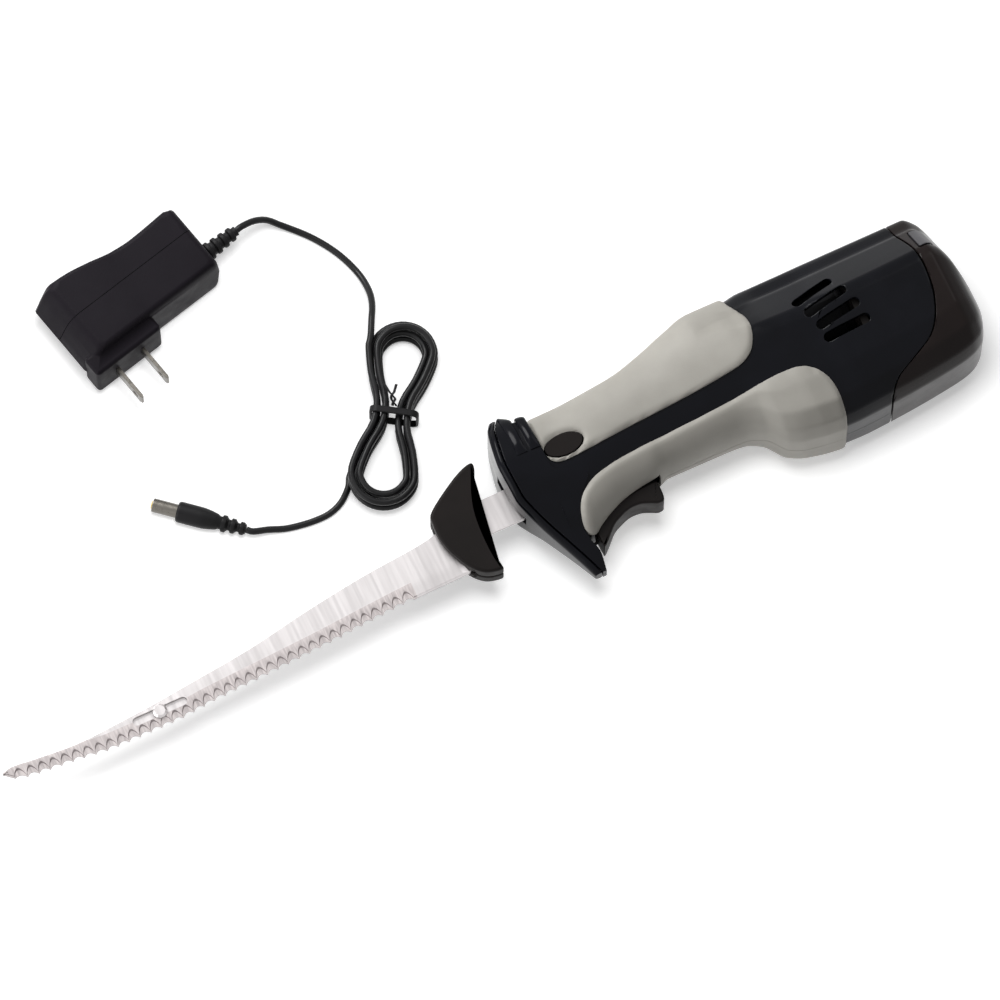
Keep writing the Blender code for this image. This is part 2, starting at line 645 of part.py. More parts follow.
def build_housing():
    for side, sign in SIDES:
        shell = housing_shell("housing_" + side, sign < 0)
        if sign < 0:
            plain = shell
            plain.name = "unmirrored shell"
            shell = mirrored(plain, "housing_right")
            bpy.data.objects.remove(plain)
        finish(shell, "black_gloss")

    rings = nose_rings(0, lambda y: nose_front_at(y) + NOSE_PLATE, 0)
    plate = loft("nose_plate", [whole_ring(ring) for ring in rings])
    slot = box("slot", (-3, 12), NOSE_SLOT_Y, (-NOSE_SLOT_HALF, NOSE_SLOT_HALF))
    combine(plate, "DIFFERENCE", slot)
    finish(plate, "black_gloss")


def build_grips():
    button = oval(BUTTON_X, BUTTON_Y, BUTTON_HALF_LENGTH + GAP, BUTTON_HALF_HEIGHT + GAP)
    button_hole = prism("hole", button, 5, BODY_HALF)
    top = grip_skin("top_grip_left", TOP_GRIP_OUTLINE, button_hole)
    slot_x = (TRIGGER_SLOT_X[0] - 4.6, TRIGGER_SLOT_X[1])
    slot = box("slot", slot_x, (-40, TRIGGER_SLOT_TOP), (-1, TRIGGER_HALF + 0.6))
    flange = loft("flange", nose_rings(-GAP, lambda y: nose_rear_at(y) + GAP, -1))
    belly = grip_skin("belly_grip_left", BELLY_GRIP_OUTLINE, slot, flange)
    for grip, name in ((top, "top_grip_right"), (belly, "belly_grip_right")):
        twin = mirrored(grip, name)
        holes = [rod_between("hole", (x, y, 0), (x, y, -40), SCREW_HEAD + GAP, 16) for x, y in SCREWS[1:3]]
        combine(twin, "DIFFERENCE", *holes)
        finish(grip, "grip")
        finish(twin, "grip")


def blade_ring(x, edge):
    """Section of a blade at x: flat inside, hollow-ground outside, edge at the given height."""
    spine = spine_edge_at(x)
    low = GAP / 2
    high = low + BLADE_THICK
    line = min(edge + BEVEL_HEIGHT, spine - 0.5)
    if x > CUTTING_EDGE[-3][0]:
        line = edge + 0.1
    thin = low + EDGE_THICK if x <= CUTTING_EDGE[-3][0] else high
    return [(x, spine, low), (x, spine, high), (x, line, high), (x, edge, thin), (x, edge, low)]


def blade(name):
    """One blade, on the +Z side, from the tip through the scalloped edge to the tang."""
    places = {x: 0.0 for x in (-224.0, -222.6)}
    first = SCALLOP_START - SCALLOP_COUNT * SCALLOP_PITCH
    for i in range(SCALLOP_COUNT):
        for share, depth in ((0.0, 0.0), (0.5, 1.0)):
            places[first + (i + share) * SCALLOP_PITCH] = depth * SCALLOP_DEPTH
    places[SCALLOP_START] = 0.0
    for x in (-36.0, -27.0, -23.0, -19.0, -14.0, TANG_END):
        places[x] = 0.0
    rings = [blade_ring(x, cutting_edge_at(x) + depth) for x, depth in sorted(places.items())]
    return loft(name, rings)


def build_blades():
    left = blade("blade_left")
    right = mirrored(left, "blade_right")
    slot = rounded_slot(RIVET_X - RIVET_SLOT_RUN, RIVET_Y, 2 * RIVET_SLOT_RUN, RIVET_RADIUS + 0.5, 0)
    combine(left, "DIFFERENCE", prism("slot", slot, -1, 3))
    hole = rod_between("hole", (RIVET_X, RIVET_Y, -3), (RIVET_X, RIVET_Y, 1), RIVET_RADIUS + GAP, 12)
    combine(right, "DIFFERENCE", hole)
    finish(left, "steel", (0, 0, GAP / 2))
    finish(right, "steel", (0, 0, -GAP / 2))

    outer = BLADE_THICK + 1.5 * GAP
    head = 0.9
    rivet = turned("blade_rivet", (RIVET_X, RIVET_Y, -outer - head), (0, 0, 1),
                   ((0, RIVET_HEAD - 0.8), (head, RIVET_HEAD), (head + 0.01, RIVET_RADIUS),
                    (head + 2 * outer - 0.01, RIVET_RADIUS), (head + 2 * outer, RIVET_HEAD),
                    (2 * head + 2 * outer, RIVET_HEAD - 0.8)), 12)
    finish(rivet, "steel", (RIVET_X, RIVET_Y, 0))

    outline = [(x, y) for y, x in GUARD_FRONT] + [(x, y) for y, x in GUARD_REAR]
    guard = prism("guard_left", outline, 0.5 * GAP, BLADE_THICK + GAP + GUARD_THICK)
    soften(guard, GUARD_ROUND, 1, 50)
    bed = [(-36, spine_edge_at(-36) + 0.6), (-28, spine_edge_at(-28) + 0.6), (-20, SHANK_TOP + GAP),
           (0, SHANK_TOP + GAP), (0, SHANK_BOTTOM - GAP), (-12, SHANK_BOTTOM - GAP), (-17, -14.2),
           (-24, -18.9), (-36, -19.2)]
    combine(guard, "DIFFERENCE", prism("bed", bed, -1, BLADE_THICK + 1.5 * GAP))
    twin = mirrored(guard, "guard_right")
    finish(guard, "black_matte", (-14, 0, 0))
    finish(twin, "black_matte", (-14, 0, 0))


def gear_outline(teeth, module, slack):
    """Straight-flanked teeth around a circle, as (angle, radius) pairs."""
    pitch = math.tau / teeth
    radius = teeth * module / 2
    tooth = pitch * 0.5 - slack / radius
    outline = []
    for i in range(teeth):
        middle = i * pitch
        for angle, at in ((-0.8, -1.1), (-0.24, 0.95), (0.24, 0.95), (0.8, -1.1)):
            outline.append((middle + angle * tooth, radius + at * module))
    return outline


def build_drive():
    lead_angle = math.atan(GEAR_MODULE / 2 / WORM_PITCH_RADIUS)
    pitch_radius = GEAR_TEETH * GEAR_MODULE / 2
    quarter = math.pi / 2
    rings = []
    for z in (-GEAR_THICK / 2, GEAR_THICK / 2):
        twist = z * math.tan(lead_angle) / pitch_radius
        turn = quarter - twist
        rings.append([(GEAR_X + r * math.cos(a + turn), GEAR_Y + r * math.sin(a + turn), z)
                      for a, r in gear_outline(GEAR_TEETH, GEAR_MODULE, 0.12)])
    gear = loft("drive_gear", rings)
    for side, sign in SIDES:
        y = GEAR_Y + sign * CRANK_THROW
        combine(gear, "DIFFERENCE", rod_between("hole", (GEAR_X, y, -9), (GEAR_X, y, 9), CRANK_PIN + GAP, 16))
    finish(gear, "nylon", (GEAR_X, GEAR_Y, 0))

    cheek_low = YOKE_LOW + YOKE_THICK + 0.6
    cheek_high = cheek_low + CHEEK_THICK
    for side, sign in SIDES:
        y = GEAR_Y + sign * CRANK_THROW
        cheek = rod_between("crank_" + side, (GEAR_X, GEAR_Y, sign * cheek_low),
                            (GEAR_X, GEAR_Y, sign * cheek_high), CHEEK_RADIUS)
        pin = rod_between("pin", (GEAR_X, y, -sign * GEAR_THICK / 2), (GEAR_X, y, sign * (cheek_low + 1)),
                          CRANK_PIN)
        journal = rod_between("journal", (GEAR_X, GEAR_Y, sign * (cheek_high - 1)),
                              (GEAR_X, GEAR_Y, sign * (bearing_low() + BEARING_LENGTH)), JOURNAL_RADIUS)
        combine(cheek, "UNION", pin, journal)
        finish(cheek, "dark_steel", (GEAR_X, GEAR_Y, 0))

        bearing = rod_between("crank_bearing_" + side, (GEAR_X, GEAR_Y, sign * bearing_low()),
                              (GEAR_X, GEAR_Y, sign * (bearing_low() + BEARING_LENGTH)), BEARING_RADIUS)
        bore = rod_between("bore", (GEAR_X, GEAR_Y, 0), (GEAR_X, GEAR_Y, sign * 20), JOURNAL_RADIUS + GAP)
        combine(bearing, "DIFFERENCE", bore)
        finish(bearing, "brass")


def build_rods():
    """Yoke rods: a channel around the tang and a slotted yoke around the crank pin."""
    top = SHANK_TOP + GAP
    bottom = SHANK_BOTTOM - GAP
    arm_top = ROD_LOW + ARM_THICK
    yoke_high = YOKE_LOW + YOKE_THICK
    stem_end = GEAR_X - pitch_reach() - STROKE - 1.0
    slot_half = CRANK_PIN + YOKE_CLEARANCE
    arm_end = stem_end - 0.5
    slot_run = CRANK_THROW + YOKE_CLEARANCE
    for side, sign in SIDES:
        arm = box("arm", (ARM_START, arm_end), (bottom - LIP, top + LIP), (GAP / 2, arm_top))
        channel = box("channel", (ARM_START - 1, arm_end + 1), (bottom, top), (-1, ROD_LOW))
        combine(arm, "DIFFERENCE", channel)
        riser = box("riser", (stem_end - 4.0, stem_end), (-6.0, 6.0), (ROD_LOW, yoke_high - 0.1))
        stem = box("stem", (stem_end - 2.0, GEAR_X - YOKE_HALF + 2.5), (-5.5, 5.5),
                   (YOKE_LOW + 0.2, yoke_high - 0.2))
        head = chamfered_rectangle(GEAR_X, GEAR_Y, YOKE_HALF, slot_run + slot_half + 2.6, 2.0)
        combine(arm, "UNION", riser, stem, prism("yoke", head, YOKE_LOW, yoke_high))
        slot = rounded_slot(GEAR_X, GEAR_Y - slot_run, 2 * slot_run, slot_half, 90)
        combine(arm, "DIFFERENCE", prism("slot", slot, 0, 12))
        if sign > 0:
            rod = arm
            rod.name = "drive_rod_left"
        else:
            rod = mirrored(arm, "drive_rod_right")
            bpy.data.objects.remove(arm)
        finish(rod, "steel", (ARM_START, 0, 0))

    guide = box("blade_guide", (CAVITY_START + GAP, GUIDE_END), (-12.0, 14.5), (-12.0, 12.0))
    slot = box("slot", (0, 30), (SHANK_BOTTOM - GAP, SHANK_TOP + GAP), (-ROD_LOW, ROD_LOW))
    combine(guide, "DIFFERENCE", slot)
    finish(guide, "nylon")


def pitch_reach():
    """Outer radius of the gear."""
    return GEAR_TEETH * GEAR_MODULE / 2 + 0.95 * GEAR_MODULE


def build_motor():
    motor_end = MOTOR_START + MOTOR_LENGTH
    cap_start = motor_end + GAP
    cap_end = cap_start + MOTOR_CAP
    bore_radius = SHAFT_RADIUS + GAP

    shaft = along_motor("motor_shaft", (SHAFT_START, cap_end - 1), SHAFT_RADIUS)
    combine(shaft, "UNION", along_motor("armature", (MOTOR_START + 8, motor_end - 8), ARMATURE_RADIUS))
    finish(shaft, "steel", (SHAFT_START, MOTOR_Y, 0))

    worm_start = GEAR_X - WORM_LENGTH / 2
    worm = worm_screw("worm", worm_start)
    finish(worm, "brass", (worm_start, MOTOR_Y, 0))

    bush = along_motor("worm_bearing", widened(WORM_RIB[0], -GAP), WORM_BUSH_RADIUS)
    combine(bush, "DIFFERENCE", along_motor("bore", widened(WORM_RIB[0], 1.5), bore_radius))
    finish(bush, "brass")

    can = turned("motor_can", (0, MOTOR_Y, 0), (1, 0, 0),
                 ((MOTOR_START - 2.2, MOTOR_BOSS), (MOTOR_START - 0.01, MOTOR_BOSS),
                  (MOTOR_START, MOTOR_RADIUS - 1.5), (MOTOR_START + 1.5, MOTOR_RADIUS),
                  (motor_end, MOTOR_RADIUS)), 20)
    hollow = along_motor("hollow", (MOTOR_START + MOTOR_WALL, motor_end + 1), MOTOR_RADIUS - MOTOR_WALL)
    combine(can, "DIFFERENCE", hollow, along_motor("bore", (MOTOR_START - 4, motor_end), bore_radius))
    cap = along_motor("motor_cap", (cap_start, cap_end), MOTOR_RADIUS - 1.0, 20)
    combine(cap, "DIFFERENCE", along_motor("bore", widened((cap_start, cap_end), 1), bore_radius))
    finish(can, "dark_steel")
    finish(cap, "black_matte")


def worm_screw(name, start):
    """The worm: a hollow core with one helical thread wound on it."""
    root = WORM_PITCH_RADIUS - 1.1 * GEAR_MODULE
    lead = math.pi * GEAR_MODULE
    end = start + WORM_LENGTH
    core = along_motor(name, (start, end), root + 0.05, 12)
    combine(core, "DIFFERENCE", along_motor("bore", (start - 1, end + 1), SHAFT_RADIUS + GAP, 12))
    crest = WORM_PITCH_RADIUS + 0.8 * GEAR_MODULE
    foot = root - 0.35
    turns = (WORM_LENGTH - 1.5 * lead) / lead
    # The thread's middle faces the gear at a tooth space, half a pitch from the tooth above the gear
    first = start + 0.75 * lead
    phase = (GEAR_X + lead / 2 - first) / lead
    rings = []
    for i in range(int(turns * WORM_TURN_POINTS) + 1):
        along = i / WORM_TURN_POINTS
        angle = math.tau * (along - phase)
        ring = []
        for radius, half in ((foot, 0.62), (crest, 0.24), (crest, -0.24), (foot, -0.62)):
            x = first + along * lead + half * GEAR_MODULE
            ring.append((x, MOTOR_Y - radius * math.cos(angle), radius * math.sin(angle)))
        rings.append(ring)
    return combine(core, "UNION", loft("thread", rings))


def coil_spring(name, start, end, radius, wire, turns, points=6):
    """A compression spring as one tube wound between two seats."""
    begin = Vector(start)
    run = Vector(end) - begin
    axis = run.normalized()
    across = axis.orthogonal().normalized()
    up = axis.cross(across)
    inner_start = wire
    inner_run = run.length - 2 * wire
    places = []
    for i in range(turns * points + 1):
        angle = math.tau * i / points
        along = inner_start + inner_run * i / (turns * points)
        places.append(begin + axis * along + (across * math.cos(angle) + up * math.sin(angle)) * radius)
    return tube(name, places, wire, 1)


def tube(name, places, diameter, resolution):
    """A round wire or cord as a curve through places in millimetres."""
    curve = bpy.data.curves.new(name, "CURVE")
    curve.dimensions = "3D"
    curve.bevel_depth = diameter / 2 * MM
    curve.bevel_resolution = resolution
    curve.use_fill_caps = True
    curve.render_resolution_u = 0
    line = curve.splines.new("POLY")
    line.points.add(len(places) - 1)
    for point, place in zip(line.points, places):
        point.co = (*(Vector(place) * MM), 1)
    thing = bpy.data.objects.new(name, curve)
    bpy.context.collection.objects.link(thing)
    return thing


def build_controls():
    trigger = prism("trigger", TRIGGER_OUTLINE, -TRIGGER_HALF, TRIGGER_HALF)
    soften(trigger, 0.8, 1, 50)
    combine(trigger, "DIFFERENCE", rod_between("hole", (*TRIGGER_PIVOT, -9), (*TRIGGER_PIVOT, 9),
                                               TRIGGER_PIN_RADIUS + GAP, 12))
    finish(trigger, "black_matte", (*TRIGGER_PIVOT, 0))
    pin = rod_between("trigger_pin", (*TRIGGER_PIVOT, -TRIGGER_PIN_HALF), (*TRIGGER_PIVOT, TRIGGER_PIN_HALF),
                      TRIGGER_PIN_RADIUS, 12)
    finish(pin, "steel")
    switch = box("trigger_switch", *SWITCH_BOX)
    plunger = box("plunger", (36.5, 39.0), (SWITCH_BOX[1][0] - 0.8, SWITCH_BOX[1][0] + 1), (-1.5, 1.5))
    combine(switch, "UNION", plunger)
    finish(switch, "black_matte")
    spring = coil_spring("trigger_spring", (TRIGGER_SPRING_X, SPRING_SEAT_Y - GAP, 0),
                         (TRIGGER_SPRING_X, -16.7 + GAP, 0), 2.0, 0.7, 3)
    finish(spring, "steel")

    for side, sign in SIDES:
        low = BUTTON_LOW
        outline = oval(BUTTON_X, BUTTON_Y, BUTTON_HALF_LENGTH, BUTTON_HALF_HEIGHT)
        button = prism("release_button_" + side, outline, low, BUTTON_TOP)
        soften(button, 0.8, 1, 60)
        stem = rod_between("stem", (BUTTON_X, BUTTON_Y, LATCH_PLATE_Z + BUTTON_TRAVEL + GAP),
                           (BUTTON_X, BUTTON_Y, low + 1), 1.6, 12)
        combine(button, "UNION", stem)
        if sign < 0:
            plain = button
            plain.name = "unmirrored button"
            button = mirrored(plain, "release_button_right")
            bpy.data.objects.remove(plain)
        finish(button, "black_matte", (BUTTON_X, BUTTON_Y, 0))
        coil = coil_spring("button_spring_" + side, (BUTTON_X, BUTTON_Y, sign * (LATCH_PLATE_Z + GAP)),
                           (BUTTON_X, BUTTON_Y, sign * (low - GAP)), 2.7, 0.6, 3)
        finish(coil, "steel")

    for number, (x, y) in enumerate(SCREWS, 1):
        screw = turned("housing_screw_%d" % number, (x, y, SCREW_HEAD_Z - 2.0), (0, 0, 1),
                       ((0, SCREW_HEAD - 0.5), (0.6, SCREW_HEAD), (2.0, SCREW_HEAD), (2.01, SCREW_SHANK),
                        (2.0 + SCREW_LENGTH - 1.0, SCREW_SHANK), (2.0 + SCREW_LENGTH, 0.5)), 10)
        finish(screw, "dark_steel")


def holder_outline(inset):
    """Outline of the cell holder across the knife, as (height, side) pairs."""
    side = CELL_Z + CELL_RADIUS + CELL_WALL + 0.4 - inset
    low = CELL_Y[0] - CELL_RADIUS - CELL_WALL - 0.2 + inset
    high = CELL_Y[1] + CELL_RADIUS + CELL_WALL + 0.2 - inset
    cut = HOLDER_CHAMFER - 0.59 * inset
    top_cut = HOLDER_TOP_CHAMFER - 0.59 * inset
    half = [(high, side - top_cut), (high - top_cut, side), (low + cut, side), (low, side - cut)]
    return half + [(y, -z) for y, z in reversed(half)]


def holder_block(name, x_span, inset):
    return loft(name, [[(x, y, z) for y, z in holder_outline(inset)] for x in x_span])


def pad_holes():
    """Cutters for the two windows that the latch pads stand in."""
    x_span = (LATCH_PAD[0][0] - GAP, LATCH_PAD[0][1] + GAP)
    y_span = (LATCH_PAD[1][0] - GAP, LATCH_PAD[1][1] + GAP)
    return [box("window", x_span, y_span, z_span) for z_span in ((6, BODY_HALF + 3), (-BODY_HALF - 3, -6))]


def build_battery():
    cell_end = CELL_START + CELL_LENGTH
    holder_front = CELL_START - CELL_WALL - GAP
    holder_back = cell_end - 5.3

    outer = body_whole("battery_case", (REAR_START, BODY_END), 0)
    hollow = body_whole("hollow", (REAR_START - 5, BODY_END - WALL), WALL)
    combine(outer, "INTERSECT", behind_seam("rear", GAP / 2))
    combine(outer, "DIFFERENCE", hollow)
    jack_start = BODY_END - JACK_LENGTH
    jack_hole = rod_between("hole", (jack_start - 1, JACK_Y, 0), (BODY_END + 2, JACK_Y, 0), JACK_RADIUS + GAP)
    combine(outer, "DIFFERENCE", *pad_holes(), jack_hole)
    web_span = (holder_back + GAP, holder_back + GAP + 1.5)
    web = body_whole("web", web_span, WALL - 0.5)
    window = holder_block("window", (web_span[0] - 1, web_span[1] + 1), CELL_WALL)
    combine(web, "DIFFERENCE", window, *pad_holes())
    combine(outer, "UNION", web)
    finish(outer, "black_gloss", (CELL_START, 0, 0))

    pad = body_half("battery_latch_left", widened(LATCH_PAD[0], 2.5), -LATCH_PROUD, 0)
    combine(pad, "DIFFERENCE", body_half("core", widened(LATCH_PAD[0], 3.5), WALL, -1))
    combine(pad, "INTERSECT", box("patch", *LATCH_PAD, (4, BODY_HALF + 5)))
    twin = mirrored(pad, "battery_latch_right")
    middle = sum(LATCH_PAD[0]) / 2
    finish(pad, "black_gloss", (middle, 30, 18))
    finish(twin, "black_gloss", (middle, 30, -18))

    holder = holder_block("battery_holder", (holder_front, holder_back), 0)
    hollow = holder_block("hollow", (holder_front + CELL_WALL, holder_back + 1), CELL_WALL)
    combine(holder, "DIFFERENCE", hollow)
    finish(holder, "black_matte", (CELL_START, 0, 0))

    number = 0
    for y in CELL_Y:
        for z in (CELL_Z, -CELL_Z):
            number += 1
            cell = turned("battery_cell_%d" % number, (CELL_START, y, z), (1, 0, 0),
                          ((0, CELL_RADIUS - 0.6), (0.6, CELL_RADIUS), (CELL_LENGTH - 0.6, CELL_RADIUS),
                           (CELL_LENGTH, CELL_RADIUS - 0.6)))
            finish(cell, "cell", (CELL_START, 0, 0))

    jack = rod_between("charge_jack", (jack_start - GAP, JACK_Y, 0), (BODY_END - GAP, JACK_Y, 0), JACK_RADIUS)
    bore = rod_between("bore", (jack_start + 0.7, JACK_Y, 0), (BODY_END + 1, JACK_Y, 0), JACK_BORE)
    combine(jack, "DIFFERENCE", bore)
    finish(jack, "black_matte", (CELL_START, 0, 0))

    plate_span = (holder_front - GAP - 3.0, holder_front - GAP)
    plate = body_whole("contact_plate", plate_span, WALL + GAP)
    finish(plate, "black_matte")


def case_outline(inset, end_inset):
    """Side outline of the charger case, drawn in by inset, its left end by end_inset more."""
    left = -CASE_HALF_LENGTH + inset + end_inset
    right = CASE_HALF_LENGTH - inset - 0.2 * end_inset
    front = CASE_FRONT + inset
    outline = [(left + 2, front), (left, front + 2)]
    for i in range(9):
        x = left + (right - left) * i / 8
        outline.append((x, case_back_at(-CASE_HALF_LENGTH + 2 * CASE_HALF_LENGTH * i / 8) - inset))
    outline += [(right, front + 2), (right - 2, front)]
    return outline


def case_block(name, inset):
    """Charger case with both broad faces drawn in towards its ends."""
    rings = []
    half = ((0.0, 1.8, CASE_TAPER), (0.08, 0.3, 5.5))
    for share, edge, end in (*half, (0.5, 0.0, 0.0), *[(1 - s, e, t) for s, e, t in reversed(half)]):
        z = FLOOR + inset + (CASE_HEIGHT - 2 * inset) * share
        rings.append([(x, y, z) for x, y in case_outline(inset + edge, end)])
    return loft(name, rings)


def build_charger():
    front = case_block("charger_case_front", 0)
    hollow = case_block("hollow", CASE_WALL)
    block_y = (CASE_FRONT - PRONG_BLOCK_DEPTH, CASE_FRONT + PRONG_ROOT)
    block = box("block", (PRONG_CENTRE - PRONG_BLOCK_HALF, PRONG_CENTRE + PRONG_BLOCK_HALF), block_y,
                (FLOOR + 3.5, FLOOR + CASE_HEIGHT - 3.5))
    soften(block, 1.2, 1, 50)
    combine(front, "DIFFERENCE", hollow)
    combine(front, "UNION", block)
    back = bpy.data.objects.new("charger_case_back", front.data.copy())
    bpy.context.collection.objects.link(back)
    beyond = box("beyond", (-60, 60), (CASE_SEAM - GAP / 2, 60), (FLOOR - 5, FLOOR + 60))
    nearer = box("nearer", (-60, 60), (-60, CASE_SEAM + GAP / 2), (FLOOR - 5, FLOOR + 60))
    prong_x = [PRONG_CENTRE + sign * PRONG_SPACING / 2 for sign in (-1, 1)]
    prong_y = CASE_FRONT - PRONG_BLOCK_DEPTH
    prong_low = FLOOR + PRONG_Z - PRONG_WIDTH / 2
    prong_high = FLOOR + PRONG_Z + PRONG_WIDTH / 2
    slots = [box("slot", (x - PRONG_THICK / 2 - GAP, x + PRONG_THICK / 2 + GAP), (prong_y - 1, 0),
                 (prong_low - GAP, prong_high + GAP)) for x in prong_x]
    relief_start = (CASE_HALF_LENGTH - 3.2, RELIEF_Y, FLOOR + CASE_HEIGHT / 2)
    relief_hole = rod_between("hole", relief_start, (CASE_HALF_LENGTH + 5, *relief_start[1:]), 3.2 + GAP, 16)
    combine(front, "DIFFERENCE", beyond, *slots, relief_hole)
    combine(back, "DIFFERENCE", nearer)
    finish(front, "black_matte", parent=charger)
    finish(back, "black_matte", parent=charger)

    for number, x in enumerate(prong_x, 1):
        tip = prong_y - PRONG_LENGTH
        half = PRONG_THICK / 2
        root = CASE_FRONT + PRONG_ROOT
        outline = [(x - half, root), (x - half, tip + 1), (x - half / 2, tip),
                   (x + half / 2, tip), (x + half, tip + 1), (x + half, root)]
        prong = prism("prong_%d" % number, outline, prong_low, prong_high)
        hole_z = FLOOR + PRONG_Z
        hole = rod_between("hole", (x - 3, tip + 4, hole_z), (x + 3, tip + 4, hole_z), 1.5, 12)
        combine(prong, "DIFFERENCE", hole)
        finish(prong, "steel", parent=charger)

    board_y = CASE_FRONT + PRONG_ROOT + GAP
    margin = CASE_WALL + CASE_WALL
    board = box("charger_board", (margin - 0.76 * CASE_HALF_LENGTH, CASE_HALF_LENGTH - 2 * margin),
                (board_y, board_y + BOARD_THICK), (FLOOR + margin, FLOOR + CASE_HEIGHT - margin))
    coil = box("coil", COIL_X, (board_y + BOARD_THICK / 2, board_y + COIL_DEPTH),
               (FLOOR + 1.5 * margin, FLOOR + CASE_HEIGHT - 1.5 * margin))
    combine(board, "UNION", coil)
    finish(board, "cell", parent=charger)

    profile = relief_profile(3.2, 3.2, RELIEF_LENGTH, 4, 2.1)
    relief = turned("strain_relief", relief_start, (1, 0, 0), profile, 8)
    finish(relief, "black_matte", parent=charger)


def relief_profile(neck, neck_radius, length, ribs, end_radius):
    """Neck, then ribs that shrink towards the cord, as (distance, radius) pairs."""
    profile = [(0, neck_radius), (neck, neck_radius)]
    for i in range(ribs):
        share = i / ribs
        radius = neck_radius + 0.6 + (end_radius - neck_radius) * share
        start = neck + 0.4 + (length - 0.6) * share
        width = (length - 0.6) / ribs
        profile += [(start, radius), (start + 0.55 * width, radius), (start + 0.6 * width, radius - 1.0),
                    (start + 0.95 * width, radius - 1.0)]
    profile.append((neck + length, end_radius))
    return profile


def smooth_route(points, start_way, end_way, step):
    """Points on a smooth curve through a route, with straight ends one diameter long."""
    route = [Vector(point) for point in points]
    route.insert(1, route[0] + Vector(start_way).normalized() * CORD)
    route.insert(-1, route[-1] - Vector(end_way).normalized() * CORD)
    padded = [2 * route[0] - route[1], *route, 2 * route[-1] - route[-2]]
    fine = []
    for before, a, b, after in zip(padded, padded[1:], padded[2:], padded[3:]):
        for i in range(12):
            t = i / 12
            fine.append(0.5 * (2 * a + (b - before) * t + (2 * before - 5 * a + 4 * b - after) * t ** 2
                               + (3 * a - before - 3 * b + after) * t ** 3))
    fine.append(route[-1])
    lengths = [0.0]
    for a, b in zip(fine, fine[1:]):
        lengths.append(lengths[-1] + (b - a).length)
    places = [route[0], route[1]]
    for target in steps(CORD, lengths[-1] - CORD, step)[1:-1]:
        i = min(bisect.bisect_right(lengths, target), len(lengths) - 1)
        share = (target - lengths[i - 1]) / (lengths[i] - lengths[i - 1])
        places.append(fine[i - 1].lerp(fine[i], share))
    return places + [route[-2], route[-1]], lengths[-1]


def hank_place(phase, radius, height):
    """Point on the hank's round at a phase of TURN_POINTS, drawn in at the waist."""
    phase %= TURN_POINTS
    half_turn = FOLD_POINTS + RUN_POINTS
    sign = 1 if phase < half_turn else -1
    part = phase % half_turn
    if part < FOLD_POINTS:
        angle = math.pi * (part / FOLD_POINTS - 0.5)
        along = HANK_FOLD_AT + radius * math.cos(angle)
        across = radius * math.sin(angle)
    else:
        along = HANK_FOLD_AT * (1 - 2 * (part - FOLD_POINTS) / RUN_POINTS)
        across = radius
    if abs(along) < HANK_FOLD_AT:
        across -= HANK_WAIST * 0.5 * (1 + math.cos(math.pi * along / HANK_FOLD_AT))
    turn = math.radians(HANK_TURN)
    along, across = sign * along, sign * across
    return Vector((HANK_CENTRE[0] + along * math.cos(turn) - across * math.sin(turn),
                   HANK_CENTRE[1] + along * math.sin(turn) + across * math.cos(turn), FLOOR + height))


def hank_places():
    """The whole hank as one line, spiralling in and out again as it goes down layer by layer."""
    first = FOLD_POINTS
    layer_run = 1.5 * TURN_POINTS
    turns_back = [first + layer_run + 2.5 + layer_run * i for i in range(HANK_LAYERS - 1)]
    last = turns_back[-1] + layer_run + 2.5
    places = []
    for phase in range(first, int(last) + 1):
        inward = 0.0
        layer = float(HANK_LAYERS - 1)
        position = first
        way = 1
        for turn_back in turns_back:
            if phase > turn_back:
                inward += way * (turn_back - position)
                position, way = turn_back, -way
            climb = min(max((phase - turn_back) / (TURN_POINTS / 2) + 0.5, 0), 1)
            layer -= climb * climb * (3 - 2 * climb)
        inward += way * (phase - position)
        height = TIE_THICK + GAP + CORD / 2 + layer * HANK_LAYER
        places.append(hank_place(phase, HANK_OUTER - HANK_STEP * inward / TURN_POINTS, height))
    return places


def least_gap(places, diameter):
    """Least air between a line's own turns, leaving out its near neighbours."""
    fine = []
    for a, b in zip(places, places[1:]):
        fine += [a.lerp(b, i / 3) for i in range(3)]
    least = min((fine[i] - fine[j]).length for i in range(len(fine)) for j in range(i + 12, len(fine)))
    return least - diameter


